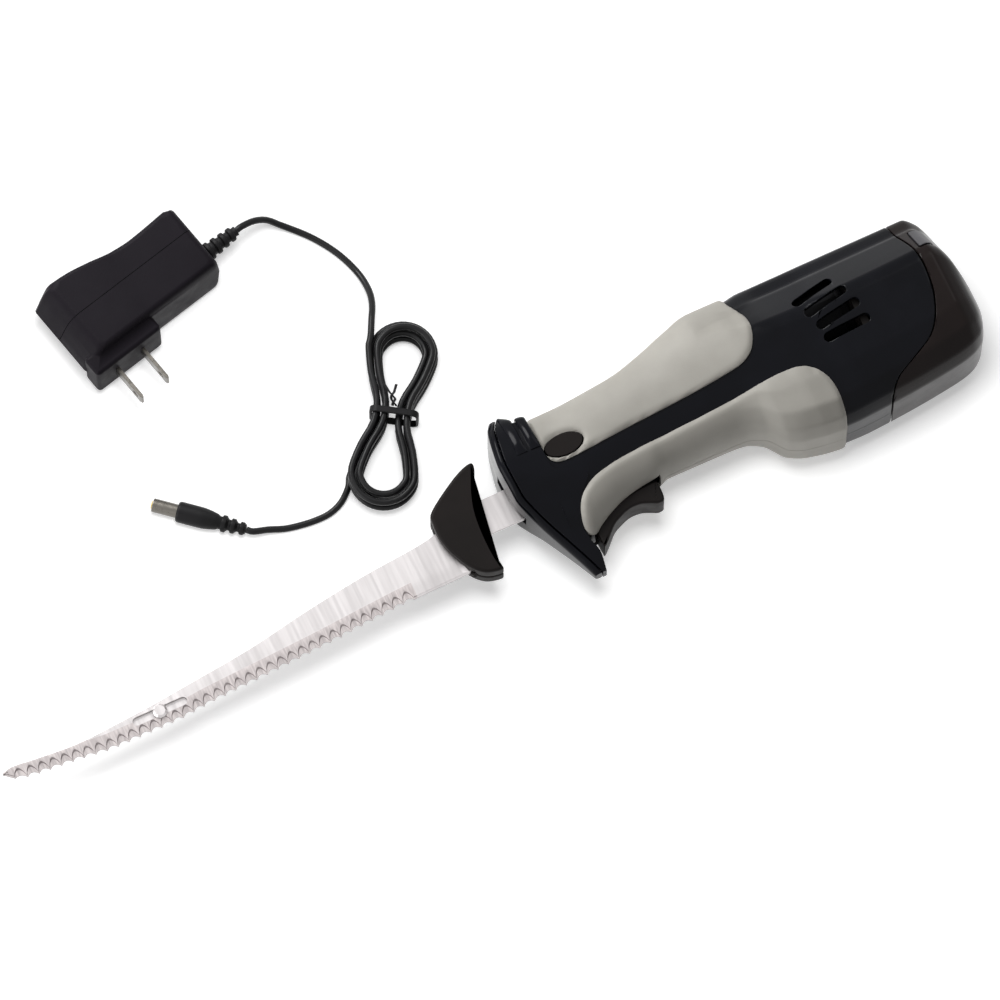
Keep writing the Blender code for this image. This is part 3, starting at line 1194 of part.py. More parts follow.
def build_cord():
    hank = hank_places()
    print("Least gap of the hank to itself: %.2f mm" % least_gap(hank, CORD))
    hank_way = Vector((math.cos(math.radians(HANK_TURN)), math.sin(math.radians(HANK_TURN)), 0))
    hank = [hank[0] + hank_way * CORD, *hank, hank[-1] - hank_way * CORD]
    finish(tube("cord_hank", hank, CORD, 1), "cord")
    print("Length of the hank: %.0f mm" % sum((b - a).length for a, b in zip(hank, hank[1:])))

    turn = math.radians(CHARGER_TURN)
    way = Vector((math.cos(turn), math.sin(turn), 0))
    exit_x = CASE_HALF_LENGTH + RELIEF_LENGTH + GAP
    start = Vector((CHARGER_PLACE[0] + exit_x * math.cos(turn) - RELIEF_Y * math.sin(turn),
                    CHARGER_PLACE[1] + exit_x * math.sin(turn) + RELIEF_Y * math.cos(turn),
                    FLOOR + CASE_HEIGHT / 2))
    middle = [(x, y, FLOOR + height) for x, y, height in LEAD_ROUTE]
    lead, length = smooth_route([start, *middle, hank[0] + hank_way * GAP], way, -hank_way, 2.5 * CORD)
    finish(tube("cord_lead", lead, CORD, 2), "cord")
    print("Length of the lead: %.0f mm" % length)

    plug_turn = math.radians(PLUG_TURN)
    plug_way = Vector((math.cos(plug_turn), math.sin(plug_turn), 0))
    plug_start = Vector((*PLUG_AT, FLOOR + PLUG_RADIUS))
    middle = [(x, y, FLOOR + height) for x, y, height in TAIL_ROUTE]
    tail, length = smooth_route([hank[-1] - hank_way * GAP, *middle, plug_start - plug_way * GAP],
                                -hank_way, plug_way, 2.5 * CORD)
    finish(tube("cord_tail", tail, CORD, 2), "cord")
    print("Length of the tail: %.0f mm" % length)

    profile = [(0, 2.1)]
    for i in range(3):
        begin = 0.6 + i * PLUG_RELIEF / 3
        radius = 2.6 + 0.4 * i
        profile += [(begin, radius), (begin + 1.9, radius),
                    (begin + 2.0, radius - 0.8), (begin + 2.9, radius - 0.8)]
    profile += [(PLUG_RELIEF + 1, PLUG_RADIUS - 1.0), (PLUG_RELIEF + 4, PLUG_RADIUS - 0.2),
                (PLUG_RELIEF + 8, PLUG_RADIUS), (PLUG_LENGTH - 0.6, PLUG_RADIUS),
                (PLUG_LENGTH, PLUG_RADIUS - 0.6)]
    body = turned("plug_body", plug_start, plug_way, profile, 10)
    seat = plug_start + plug_way * (PLUG_LENGTH - 3)
    combine(body, "DIFFERENCE", rod_between("hole", seat, seat + plug_way * 6, BARREL_RADIUS + GAP, 16))
    finish(body, "black_matte")
    barrel_start = seat + plug_way * GAP
    barrel_end = plug_start + plug_way * (PLUG_LENGTH + BARREL_LENGTH)
    barrel = rod_between("plug_barrel", barrel_start, barrel_end, BARREL_RADIUS)
    bore = rod_between("bore", barrel_end - plug_way * 9, barrel_end + plug_way, BARREL_BORE)
    combine(barrel, "DIFFERENCE", bore)
    finish(barrel, "steel")
    tip = rod_between("plug_insulator", barrel_end - plug_way * 8.5, barrel_end + plug_way * 0.6,
                      BARREL_BORE - GAP, 12)
    bore = rod_between("bore", barrel_end - plug_way * 7, barrel_end + plug_way * 2, 0.9, 12)
    combine(tip, "DIFFERENCE", bore)
    finish(tip, "nylon")

    half = HANK_OUTER - HANK_WAIST + CORD / 2 + GAP
    high = TIE_THICK + GAP + CORD + (HANK_LAYERS - 1) * HANK_LAYER + GAP
    inner_corner = CORD / 2
    tie = tie_band("hank_tie", half + TIE_THICK, 0, high + TIE_THICK, TIE_WIDTH, inner_corner + TIE_THICK)
    combine(tie, "DIFFERENCE", tie_band("inside", half, TIE_THICK, high, TIE_WIDTH + 2, inner_corner))
    finish(tie, "black_matte")


def tie_band(name, half, low, high, width, corner):
    """A block with rounded corners across the hank's waist."""
    turn = math.radians(HANK_TURN)
    section = []
    for side, up, first in ((1, 1, 0), (-1, 1, 90), (-1, 0, 180), (1, 0, 270)):
        for i in range(3):
            angle = math.radians(first + 45 * i)
            centre = (side * (half - corner), high - corner if up else low + corner)
            section.append((centre[0] + corner * math.cos(angle), centre[1] + corner * math.sin(angle)))
    rings = []
    for along in (-width / 2, width / 2):
        rings.append([(HANK_CENTRE[0] + along * math.cos(turn) - across * math.sin(turn),
                       HANK_CENTRE[1] + along * math.sin(turn) + across * math.cos(turn), FLOOR + height)
                      for across, height in section])
    return loft(name, rings)


def frame_empty(name, place, turn, parent=None):
    empty = bpy.data.objects.new(name, None)
    bpy.context.collection.objects.link(empty)
    empty.location = Vector(place) * MM
    empty.rotation_euler = (0, 0, math.radians(turn))
    empty.parent = parent
    return empty


for old in list(bpy.data.objects):
    bpy.data.objects.remove(old)

ORIGIN_X = 150.0
knife = frame_empty("knife", (-ORIGIN_X, 0, -FLOOR), 0)
charger = frame_empty("charger", (*CHARGER_PLACE, 0), CHARGER_TURN, knife)

build_housing()
build_grips()
build_blades()
build_drive()
build_rods()
build_motor()
build_controls()
build_battery()
build_charger()
build_cord()
bpy.context.view_layer.update()
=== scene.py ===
"""Looks of the cordless fillet knife and its charger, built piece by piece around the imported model.

Places are millimetres in the knife's own frame: +X from the nose to the battery, +Y to the spine,
+Z to the left side, with the blades on Y = 0. The row frame is 150 mm further back and 26 mm lower.
"""

import bisect
import json
import math

import bmesh
import bpy
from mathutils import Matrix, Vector


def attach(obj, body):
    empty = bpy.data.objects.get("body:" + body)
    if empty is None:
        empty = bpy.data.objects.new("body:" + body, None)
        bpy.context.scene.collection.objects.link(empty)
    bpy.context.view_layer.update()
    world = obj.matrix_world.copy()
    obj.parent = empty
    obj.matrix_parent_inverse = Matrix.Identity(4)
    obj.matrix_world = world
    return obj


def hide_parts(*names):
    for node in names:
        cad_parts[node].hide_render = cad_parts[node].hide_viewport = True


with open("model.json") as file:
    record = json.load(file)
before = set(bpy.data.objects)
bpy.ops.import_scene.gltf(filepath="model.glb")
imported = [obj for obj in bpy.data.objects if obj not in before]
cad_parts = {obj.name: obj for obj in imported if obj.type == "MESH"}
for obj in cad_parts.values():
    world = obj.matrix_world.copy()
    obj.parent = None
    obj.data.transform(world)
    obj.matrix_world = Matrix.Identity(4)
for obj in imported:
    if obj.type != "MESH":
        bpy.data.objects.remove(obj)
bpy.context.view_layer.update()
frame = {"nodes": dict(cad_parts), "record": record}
nodes = frame["nodes"]

# Camera
# The photograph is taken from well above and a little towards the belly, through a long lens. Its
# middle lies between the finger guard and the nose, on the level of the blades.
MM = 0.001
AZIMUTH = math.radians(-25.1)
ELEVATION = math.radians(72.0)
VIEW_MIDDLE = Vector((-152.6, 4.0, 26.0)) * MM
VIEW_WIDTH = 390.0 * MM
VIEW_DISTANCE = 4.0
back = Vector((math.sin(AZIMUTH) * math.cos(ELEVATION), -math.cos(AZIMUTH) * math.cos(ELEVATION),
               math.sin(ELEVATION)))
bpy.ops.object.camera_add(location=VIEW_MIDDLE + back * VIEW_DISTANCE)
camera = bpy.context.object
camera.name = "studio_camera"
camera.rotation_euler = (math.pi / 2 - ELEVATION, 0, AZIMUTH)
camera.data.lens = camera.data.sensor_width * VIEW_DISTANCE / VIEW_WIDTH
camera.data.clip_end = 20
bpy.context.scene.camera = camera

# Studio light
# A white table in a bright room. A large soft key lamp on the spine side leaves the belly side darker,
# a weak one fills from the battery end, and a low one beyond the tip draws lights on the front rims.
# The narrow shadow comes from a lamp overhead that lights only the table, which the key leaves out.
bpy.context.scene.view_settings.view_transform = "Standard"


def linear(code):
    """A colour written as sRGB hex, as the linear values that a shader takes."""
    shades = [int(code[i:i + 2], 16) / 255 for i in (1, 3, 5)]
    return (*[s / 12.92 if s <= 0.04045 else ((s + 0.055) / 1.055) ** 2.4 for s in shades], 1)


def add_node(tree, kind, settings=None, **inputs):
    """One shader node with its settings and its inputs, each a value or another node's output."""
    new = tree.nodes.new(kind)
    for name, value in (settings or {}).items():
        setattr(new, name, value)
    for name, value in inputs.items():
        numbered = name[0] == "n" and name[1:].isdigit()
        socket = new.inputs[int(name[1:]) if numbered else name.replace("_", " ")]
        if isinstance(value, bpy.types.NodeSocket):
            tree.links.new(value, socket)
        else:
            socket.default_value = value
    return new


def seen_directly(tree):
    """1 for what the camera sees, also through a mirror or a clear piece, and 0 for light on a surface."""
    ray = add_node(tree, "ShaderNodeLightPath")
    mirrored = add_node(tree, "ShaderNodeMath", {"operation": "MAXIMUM"}, n0=ray.outputs["Is Camera Ray"],
                        n1=ray.outputs["Is Glossy Ray"])
    return add_node(tree, "ShaderNodeMath", {"operation": "MAXIMUM"}, n0=mirrored.outputs[0],
                    n1=ray.outputs["Is Transmission Ray"])


ROOM_LIGHT = 0.17
world = bpy.data.worlds.new("white_room")
bpy.context.scene.world = world
world.use_nodes = True
tree = world.node_tree
tree.nodes.clear()
seen = seen_directly(tree)
strength = add_node(tree, "ShaderNodeMapRange", n0=seen.outputs[0], To_Min=ROOM_LIGHT, To_Max=1.0)
room = add_node(tree, "ShaderNodeBackground", Color=linear("#FFFFFF"), Strength=strength.outputs[0])
add_node(tree, "ShaderNodeOutputWorld", Surface=room.outputs[0])


def soft_lamp(name, place, target, size, watts):
    bpy.ops.object.light_add(type="AREA", location=Vector(place) * MM)
    lamp = bpy.context.object
    lamp.name = name
    lamp.data.shape = "DISK"
    lamp.data.size = size
    lamp.data.energy = watts
    lamp.rotation_euler = (Vector(target) - Vector(place)).to_track_quat("-Z", "Y").to_euler()
    return lamp


key = soft_lamp("key_lamp", (-380, 760, 690), (-120, 0, 20), 0.65, 10.8)
soft_lamp("fill_lamp", (420, 420, 760), (-100, 0, 20), 0.5, 0.8)
table_lamp = soft_lamp("table_lamp", (-190, 60, 1200), (-160, 40, 0), 0.5, 9.5)
soft_lamp("rim_lamp", (-1150, 0, 300), (-120, 0, 20), 0.9, 6.0)

TABLE_GLOW = 0.38
LIT_RADIUS = 0.6
WHITE_RADIUS = 1.4
bpy.ops.mesh.primitive_plane_add(size=6, location=(-0.15, 0.05, 0))
table = bpy.context.object
table.name = "white_table"
white = bpy.data.materials.new("matt_white_table")
white.use_nodes = True
tree = white.node_tree
shader = tree.nodes["Principled BSDF"]
shader.inputs["Base Color"].default_value = linear("#F2F2F2")
shader.inputs["Roughness"].default_value = 0.7
shader.inputs["Specular IOR Level"].default_value = 0.1
place = add_node(tree, "ShaderNodeTexCoord").outputs["Object"]
distance = add_node(tree, "ShaderNodeVectorMath", {"operation": "LENGTH"}, n0=place)
# The table turns fully white where the lamps no longer reach it, so no horizon shows from the side
outward = add_node(tree, "ShaderNodeMapRange", Value=distance.outputs["Value"], n1=LIT_RADIUS,
                   n2=WHITE_RADIUS, To_Min=TABLE_GLOW, To_Max=1.0)
glow = add_node(tree, "ShaderNodeMath", {"operation": "MULTIPLY"}, n0=seen_directly(tree).outputs[0],
                n1=outward.outputs["Result"])
lit = add_node(tree, "ShaderNodeEmission", Color=linear("#FFFFFF"), Strength=glow.outputs[0])
both = add_node(tree, "ShaderNodeAddShader", n0=shader.outputs[0], n1=lit.outputs[0])
tree.links.new(both.outputs[0], tree.nodes["Material Output"].inputs["Surface"])
table.data.materials.append(white)
for lamp, linking in ((key, "EXCLUDE"), (table_lamp, "INCLUDE")):
    lit_by_lamp = bpy.data.collections.new(f"{lamp.name}_table")
    lit_by_lamp.objects.link(table)
    lit_by_lamp.collection_objects[0].light_linking.link_state = linking
    lamp.light_linking.receiver_collection = lit_by_lamp

# Handle shells
# Two halves of glossy black ABS, injection moulded and screwed together along the middle. Each has a
# 2.5 mm wall, a flared nose in front, and a boxy rear with a raised spine strip over a long chamfer.
ORIGIN = Vector((150.0, 0.0, -26.0))
MIDDLE_HEIGHT = -ORIGIN.z * MM
GAP = 0.3
WALL = 2.5
# A height outside the whole body, for cuts that run out of it
BEYOND = 28.0
BODY_END = 199.0
BODY_SPAN = (16.0, BODY_END)
SPINE_LINE = ((16, 26.4), (31, 26.5), (46, 27.6), (57.5, 28.9), (70, 32.1), (82, 36.0), (94.6, 39.2),
              (108, 39.3), (117, 40.5), (188, 40.6), (192.5, 37.0), (195.5, 30.0), (197.5, 20.0), (199, 9.0))
BELLY_LINE = ((16, -24.0), (24, -26.7), (28, -24.2), (32.6, -21.5), (41, -18.0), (47.8, -16.5),
              (55.7, -15.4), (62, -13.4), (86, -13.4), (94, -13.6), (102, -16.6), (108.6, -24.1),
              (116, -27.0), (136, -29.2), (152, -28.4), (182, -25.2), (189, -23.5), (194, -20.5),
              (197, -16.0), (199, -11.0))
HALF_WIDTH = ((16, 16.8), (30, 16.2), (60, 16.2), (72, 17.2), (85, 19.2), (97, 21.8), (108, 23.7),
              (118, 24.3), (134, 24.5), (143, 26.0), (189, 26.0), (193, 23.8), (196, 20.5), (198, 16.0),
              (199, 12.5))
BOXINESS = ((92, 0.0), (122, 1.0))
OVAL_POWER = 2.5
BOX_SECTION = ((1.0, 0.0), (1.0, 0.18), (0.95, 0.26), (0.80, 0.40), (0.77, 0.46), (0.40, 0.945), (0.27, 1.0),
               (0.0, 1.0), (-0.45, 1.0), (-0.75, 0.93), (-0.93, 0.74), (-1.0, 0.45), (-1.0, 0.0))
SECTION_ROUNDING = 1.3


def curve_through(knots):
    """A smooth function through (place, value) pairs that doesn't overshoot them."""
    places = [knot[0] for knot in knots]
    values = [knot[1] for knot in knots]
    slopes = [(values[i + 1] - values[i]) / (places[i + 1] - places[i]) for i in range(len(knots) - 1)]
    tangents = [slopes[0]]
    tangents += [0.0 if a * b <= 0 else 2 * a * b / (a + b) for a, b in zip(slopes, slopes[1:])]
    tangents.append(slopes[-1])

    def value(place):
        place = min(max(place, places[0]), places[-1])
        i = min(bisect.bisect_right(places, place), len(places) - 1) - 1
        span = places[i + 1] - places[i]
        t = (place - places[i]) / span
        return (values[i] * (2 * t ** 3 - 3 * t ** 2 + 1) + tangents[i] * span * (t ** 3 - 2 * t ** 2 + t)
                + values[i + 1] * (3 * t ** 2 - 2 * t ** 3) + tangents[i + 1] * span * (t ** 3 - t ** 2))

    return value


spine_at = curve_through(SPINE_LINE)
belly_at = curve_through(BELLY_LINE)
half_at = curve_through(HALF_WIDTH)
boxy_at = curve_through(BOXINESS)


def steps(start, end, step):
    """Evenly spaced places from start to end, no further apart than step."""
    count = max(1, math.ceil(abs(end - start) / step))
    return [start + (end - start) * i / count for i in range(count + 1)]


def finer(points, count):
    """The same line of points with count times as many steps."""
    return [a.lerp(b, i / count) for a, b in zip(points, points[1:]) for i in range(count)] + [points[-1]]


def in_row(points):
    """Points in the knife's millimetres, as metres in the row frame."""
    return [(Vector(point) - ORIGIN) * MM for point in points]


def body_section(x, grow, start):
    """The left half of the body's section, from the spine round to the belly, four points a corner."""
    top, bottom, half = spine_at(x) + grow, belly_at(x) - grow, half_at(x) + grow
    boxy = boxy_at(x)
    middle, reach = (top + bottom) / 2, (top - bottom) / 2
    last = len(BOX_SECTION) - 1
    corners = [Vector((middle + reach * up, half * out)) for up, out in BOX_SECTION]
    points = []
    for k in range(last):
        here, ahead = corners[k], corners[k + 1]
        run = ahead - here
        cut = min(SECTION_ROUNDING, 0.35 * run.length)
        leave, arrive = here + run.normalized() * cut, ahead - run.normalized() * cut
        turn = here
        if k:
            before = here - corners[k - 1]
            meet = here - before.normalized() * min(SECTION_ROUNDING, 0.35 * before.length)
            turn = (meet + 2 * here + leave) / 4
        points += [turn, leave, (here + ahead) / 2, arrive]
    points.append(corners[last])
    ring = []
    for i, flat in enumerate(points):
        angle = math.pi * i / (len(points) - 1)
        up = math.copysign(abs(math.cos(angle)) ** (2 / OVAL_POWER), math.cos(angle))
        oval = Vector((middle + reach * up, half * math.sin(angle) ** (2 / OVAL_POWER)))
        y, z = oval.lerp(flat, boxy)
        ring.append((x, y, start if i in (0, len(points) - 1) else z))
    return ring


SAME_PLACE = 0.01 * MM


def swept(name, rings, closed_ends=True):
    """A grid laid on the rings one after the other, joined round each ring and closed at both ends."""
    deselect()
    bpy.ops.mesh.primitive_grid_add(x_subdivisions=len(rings[0]), y_subdivisions=len(rings) - 1)
    thing = bpy.context.object
    thing.name = name
    thing.matrix_world.identity()
    places = [place for ring in rings for place in in_row([*ring, ring[0]])]
    for vertex, place in zip(thing.data.vertices, places):
        vertex.co = place
    bpy.ops.object.mode_set(mode="EDIT")
    bpy.ops.mesh.select_all(action="SELECT")
    bpy.ops.mesh.remove_doubles(threshold=SAME_PLACE)
    if closed_ends:
        bpy.ops.mesh.select_all(action="DESELECT")
        bpy.ops.mesh.select_non_manifold(extend=False)
        bpy.ops.mesh.fill_holes(sides=0)
        bpy.ops.mesh.select_all(action="SELECT")
        bpy.ops.mesh.normals_make_consistent(inside=False)
    bpy.ops.object.mode_set(mode="OBJECT")
    return thing


def deselect():
    bpy.ops.object.select_all(action="DESELECT")


def pushed_through(name, outline, low, high):
    """A side-view outline extruded from z = low to z = high."""
    deselect()
    bpy.ops.mesh.primitive_circle_add(vertices=len(outline), fill_type="NGON")
    thing = bpy.context.object
    thing.name = name
    thing.matrix_world.identity()
    for vertex, place in zip(thing.data.vertices, in_row([(x, y, low) for x, y in outline])):
        vertex.co = place
    bpy.ops.object.mode_set(mode="EDIT")
    bpy.ops.mesh.select_all(action="SELECT")
    bpy.ops.mesh.extrude_region_move(TRANSFORM_OT_translate={"value": (0, 0, (high - low) * MM)})
    bpy.ops.mesh.select_all(action="SELECT")
    bpy.ops.mesh.normals_make_consistent(inside=False)
    bpy.ops.object.mode_set(mode="OBJECT")
    return thing


def rectangle(x_span, y_span):
    """The corners of a rectangle, taken round in order."""
    (left, right), (low, high) = x_span, y_span
    return [(left, low), (right, low), (right, high), (left, high)]


def block(name, x_span, y_span, z_span):
    return pushed_through(name, rectangle(x_span, y_span), *z_span)


def heading(degrees):
    """A level direction at an angle from +X towards +Y."""
    return Vector((math.cos(math.radians(degrees)), math.sin(math.radians(degrees)), 0))


def pick(thing):
    """Makes one object the only selected and the active one."""
    deselect()
    thing.select_set(True)
    bpy.context.view_layer.objects.active = thing


def apply_modifier(thing, kind, **settings):
    """One modifier, set and applied as by hand."""
    pick(thing)
    change = thing.modifiers.new(kind.title(), kind)
    for name, value in settings.items():
        setattr(change, name, value)
    bpy.ops.object.modifier_apply(modifier=change.name)


def combine(thing, operation, *tools):
    """Joins, cuts or keeps what a piece shares with tools, which are used up."""
    for tool in tools:
        apply_modifier(thing, "BOOLEAN", operation=operation, object=tool, solver="EXACT")
        bpy.data.objects.remove(tool)
    return thing


WELD_DISTANCE = 0.06 * MM
SPECK_SIZE = 0.02 * MM
SMOOTH_BELOW = math.radians(38)


def soft_edges(thing, width, segments=2, angle=50, where=None):
    """Small rounds on a piece's sharp edges, as a mould leaves them, and even shading between them."""
    pick(thing)
    bpy.ops.object.mode_set(mode="EDIT")
    bpy.ops.mesh.select_all(action="SELECT")
    bpy.ops.mesh.remove_doubles(threshold=WELD_DISTANCE)
    bpy.ops.mesh.dissolve_degenerate(threshold=SPECK_SIZE)
    bpy.ops.object.mode_set(mode="OBJECT")
    if width:
        form = bmesh.new()
        form.from_mesh(thing.data)
        weights = [0.0] * len(form.edges)
        for edge in form.edges:
            sharp = edge.is_manifold and edge.calc_face_angle(0) > math.radians(angle)
            place = (edge.verts[0].co + edge.verts[1].co) / 2 / MM + ORIGIN
            if sharp and (where is None or where(place)):
                weights[edge.index] = 1.0
        form.free()
        kept = thing.data.attributes.new("bevel_weight_edge", "FLOAT", "EDGE")
        kept.data.foreach_set("value", weights)
        apply_modifier(thing, "BEVEL", width=width * MM, segments=segments, limit_method="WEIGHT",
                       use_clamp_overlap=False)
    bpy.ops.object.shade_smooth_by_angle(angle=SMOOTH_BELOW)
    apply_modifier(thing, "WEIGHTED_NORMAL", mode="FACE_AREA", weight=60, keep_sharp=True)
    return thing


def mirror_twin(thing, name):
    """The right-hand twin of a left-hand piece, with its own mesh."""
    twin = thing.copy()
    twin.data = thing.data.copy()
    twin.name = name
    bpy.context.collection.objects.link(twin)
    for vertex in twin.data.vertices:
        vertex.co.z = 2 * MIDDLE_HEIGHT - vertex.co.z
    twin.data.flip_normals()
    return twin


def cut_twin(thing, name, holes, depth):
    """The right-hand twin with screw holes, which are cut in a copy before it is mirrored."""
    copy = thing.copy()
    copy.data = thing.data.copy()
    bpy.context.collection.objects.link(copy)
    for x, y in holes:
        outline = oval(x, y, SCREW_HEAD + GAP, SCREW_HEAD + GAP, 24)
        combine(copy, "DIFFERENCE", pushed_through("screw_hole", outline, depth, BEYOND))
    twin = mirror_twin(copy, name)
    bpy.data.objects.remove(copy)
    return twin


def dress(thing, material, body, slot_name, *replaced):
    """Gives a finished piece its material and the body that it rides on, and hides what it stands for. The
    slot name is not used.
    """
    thing.data.materials.clear()
    thing.data.materials.append(material)
    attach(thing, body)
    if replaced:
        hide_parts(*replaced)
    return thing


def whole_ring(half):
    """A closed section from its left half, whose first and last points lie at z = 0."""
    return half + [(x, y, -z) for x, y, z in reversed(half[1:-1])]


def body_skin(name, x_span, grow, start, step=2.0):
    return swept(name, [body_section(x, grow, start) for x in steps(*x_span, step)])


def two_tones(tree, pattern, ends, colour, shade):
    """A base colour that runs from one tone to the other between the two ends of a pattern's range."""
    tones = add_node(tree, "ShaderNodeValToRGB", Fac=pattern)
    for stop, end, code in zip(tones.color_ramp.elements, ends, (colour, shade)):
        stop.position = end
        stop.color = linear(code)
    tree.links.new(tones.outputs["Color"], tree.nodes["Principled BSDF"].inputs["Base Color"])


def uneven_sheen(tree, pattern, ends, roughness, spread):
    """A roughness that a pattern moves up and down by a spread."""
    sheen = add_node(tree, "ShaderNodeMapRange", Value=pattern, n1=ends[0], n2=ends[1],
                     To_Min=roughness - spread, To_Max=roughness + spread)
    tree.links.new(sheen.outputs["Result"], tree.nodes["Principled BSDF"].inputs["Roughness"])


def metal(name):
    """A new bare metal, still without its colour and sheen."""
    material = bpy.data.materials.new(name)
    material.use_nodes = True
    material.node_tree.nodes["Principled BSDF"].inputs["Metallic"].default_value = 1.0
    return material


def cut_steel(name, colour, shade, roughness, scale, relief):
    """Steel with marks from a wheel: noise stretched one way, whose colours, sheen and relief follow it."""
    material = metal(name)
    tree = material.node_tree
    place = add_node(tree, "ShaderNodeTexCoord").outputs["Object"]
    lines = add_node(tree, "ShaderNodeMapping", Vector=place, Scale=scale)
    grinding = add_node(tree, "ShaderNodeTexNoise", Vector=lines.outputs["Vector"], Scale=1.0, Detail=3.0)
    two_tones(tree, grinding.outputs["Fac"], (0.3, 0.7), colour, shade)
    uneven_sheen(tree, grinding.outputs["Fac"], (0.2, 0.8), roughness, 0.06)
    bump = add_node(tree, "ShaderNodeBump", Height=grinding.outputs["Fac"], Distance=relief * MM)
    tree.links.new(bump.outputs["Normal"], tree.nodes["Principled BSDF"].inputs["Normal"])
    return material


def rubbed_metal(name, colour, shade, roughness, grain):
    """A plain metal with soft marks: two near colours and a sheen that change over a grain in mm."""
    material = metal(name)
    tree = material.node_tree
    place = add_node(tree, "ShaderNodeTexCoord").outputs["Object"]
    marks = add_node(tree, "ShaderNodeTexNoise", Vector=place, Scale=1 / (grain * MM), Detail=5.0)
    two_tones(tree, marks.outputs["Fac"], (0.0, 1.0), colour, shade)
    uneven_sheen(tree, marks.outputs["Fac"], (0.3, 0.7), roughness, 0.08)
    return material


# Colour clouds some 20 mm wide and handling smears some 8 mm wide, in waves to the metre
CLOUD_SCALE = 45.0
SMEAR_SCALE = 130.0


def moulded(name, colour, shade, roughness, grain, relief, wear=0.08, gloss=0.5):
    """A moulded plastic: two near colours in soft clouds, a fine grain in mm and its relief in mm."""
    material = bpy.data.materials.new(name)
    material.use_nodes = True
    tree = material.node_tree
    shader = tree.nodes["Principled BSDF"]
    shader.inputs["Specular IOR Level"].default_value = gloss
    place = add_node(tree, "ShaderNodeTexCoord").outputs["Object"]
    clouds = add_node(tree, "ShaderNodeTexNoise", Vector=place, Scale=CLOUD_SCALE, Detail=4.0)
    two_tones(tree, clouds.outputs["Fac"], (0.35, 0.7), colour, shade)
    smears = add_node(tree, "ShaderNodeTexNoise", Vector=place, Scale=SMEAR_SCALE, Detail=6.0,
                      Roughness=0.65)
    uneven_sheen(tree, smears.outputs["Fac"], (0.3, 0.7), roughness, wear)
    skin = add_node(tree, "ShaderNodeTexNoise", Vector=place, Scale=1.0 / (grain * MM), Detail=2.0)
    bump = add_node(tree, "ShaderNodeBump", Height=skin.outputs["Fac"], Distance=relief * MM, Strength=1.0)
    tree.links.new(bump.outputs["Normal"], shader.inputs["Normal"])
    return material


# Polished mould, so a mirror-like black with a slow orange-peel wave and a few soft smears
gloss_abs = moulded("polished_black_abs", "#0A0B10", "#0E0F15", 0.18, 7.0, 0.02, wear=0.05, gloss=0.09)

SEAM_LINE = ((-34, 150.2), (-29.8, 150.8), (-23, 155.9), (-18.3, 165.5), (-13.5, 174.4), (-8.5, 178.7),
             (-3.2, 181.4), (5, 183.9), (14, 184.8), (24, 184.2), (35, 182.1), (48, 181.0))
SEAM_GROOVE = 0.3
seam_at = curve_through(SEAM_LINE)
NOSE_FRONT = ((-40.6, 17.6), (-32, 13.9), (-23.4, 9.9), (-15.4, 6.1), (-8.6, 2.9), (-2.6, 0.8), (10.4, 0.0),
              (20, 1.2), (28, 3.2), (31.4, 5.2))
NOSE_REAR = ((-40.6, 22.4), (-33.5, 23.2), (-28, 21.6), (-22, 20.6), (-16, 22.0), (-11.5, 25.0),
             (-7.5, 29.5), (-5, 31.0), (2.4, 18.8), (26.4, 18.2), (27.5, 13.0), (30, 10.5), (31.4, 9.2))
NOSE_HALF = ((-40.6, 4.4), (-37, 6.4), (-30, 9.0), (-20, 12.8), (-10, 16.8), (0, 19.0), (10, 19.2),
             (20, 17.2), (28, 13.0), (31.4, 9.5))
NOSE_THINNING = ((-40.6, 0.7), (-30, 0.62), (-18, 0.6), (-6, 0.8), (5, 1.0), (31.4, 1.0))
NOSE_THINNING_RUN = 14.0
NOSE_CORNER = 3.0
NOSE_PLATE = 3.0
nose_front_at = curve_through(NOSE_FRONT)
nose_rear_at = curve_through(NOSE_REAR)
nose_half_at = curve_through(NOSE_HALF)
nose_thinning_at = curve_through(NOSE_THINNING)
nose_top_at = curve_through(((5.2, 31.4), (9.2, 31.4), (10.5, 30.0), (13.0, 27.9), (18.2, 26.6)))
NOSE_LEVELS = steps(-40.6, 31.4, 1.5)


def nose_side(x, y):
    """Half width of the nose, which grows from its front edge backwards."""
    share = min(max((x - nose_front_at(y)) / NOSE_THINNING_RUN, 0), 1)
    thinning = nose_thinning_at(y)
    return nose_half_at(y) * (thinning + (1 - thinning) * share)


def nose_rings(front_inset, rear, start):
    """Half sections of the nose from its front edge to a rear edge, level by level."""
    rings = []
    for y in NOSE_LEVELS:
        front = nose_front_at(y) + front_inset
        back_edge = rear(y)
        room = min(0.6 * nose_side(front, y), 0.8 * (back_edge - front))
        corner = 0.3 if front_inset else min(NOSE_CORNER, room)
        ring = [(front, y, start), (front, y, nose_side(front, y) - corner - 0.2)]
        for i in range(1, 7):
            angle = math.radians(15 * i)
            x = front + corner * (1 - math.cos(angle))
            ring.append((x, y, nose_side(x, y) - corner * (1 - math.sin(angle))))
        for share in (0.25, 0.5, 0.75, 1.0):
            x = front + corner + (back_edge - front - corner) * share
            ring.append((x, y, nose_side(x, y) - 0.6 * share))
        ring.append((back_edge, y, start))
        rings.append(ring)
    return rings


def behind_seam(name, shift):
    """Everything behind the curved seam between housing and battery."""
    outline = [(seam_at(y) + shift, y) for y in steps(-34, 48, 1.5)]
    return pushed_through(name, [*outline, (240, 48), (240, -34)], -31, 31)


def oval(x, y, half_length, half_height, count=48):
    return [(x + half_length * math.cos(a), y + half_height * math.sin(a))
            for a in (math.tau * i / count for i in range(count))]


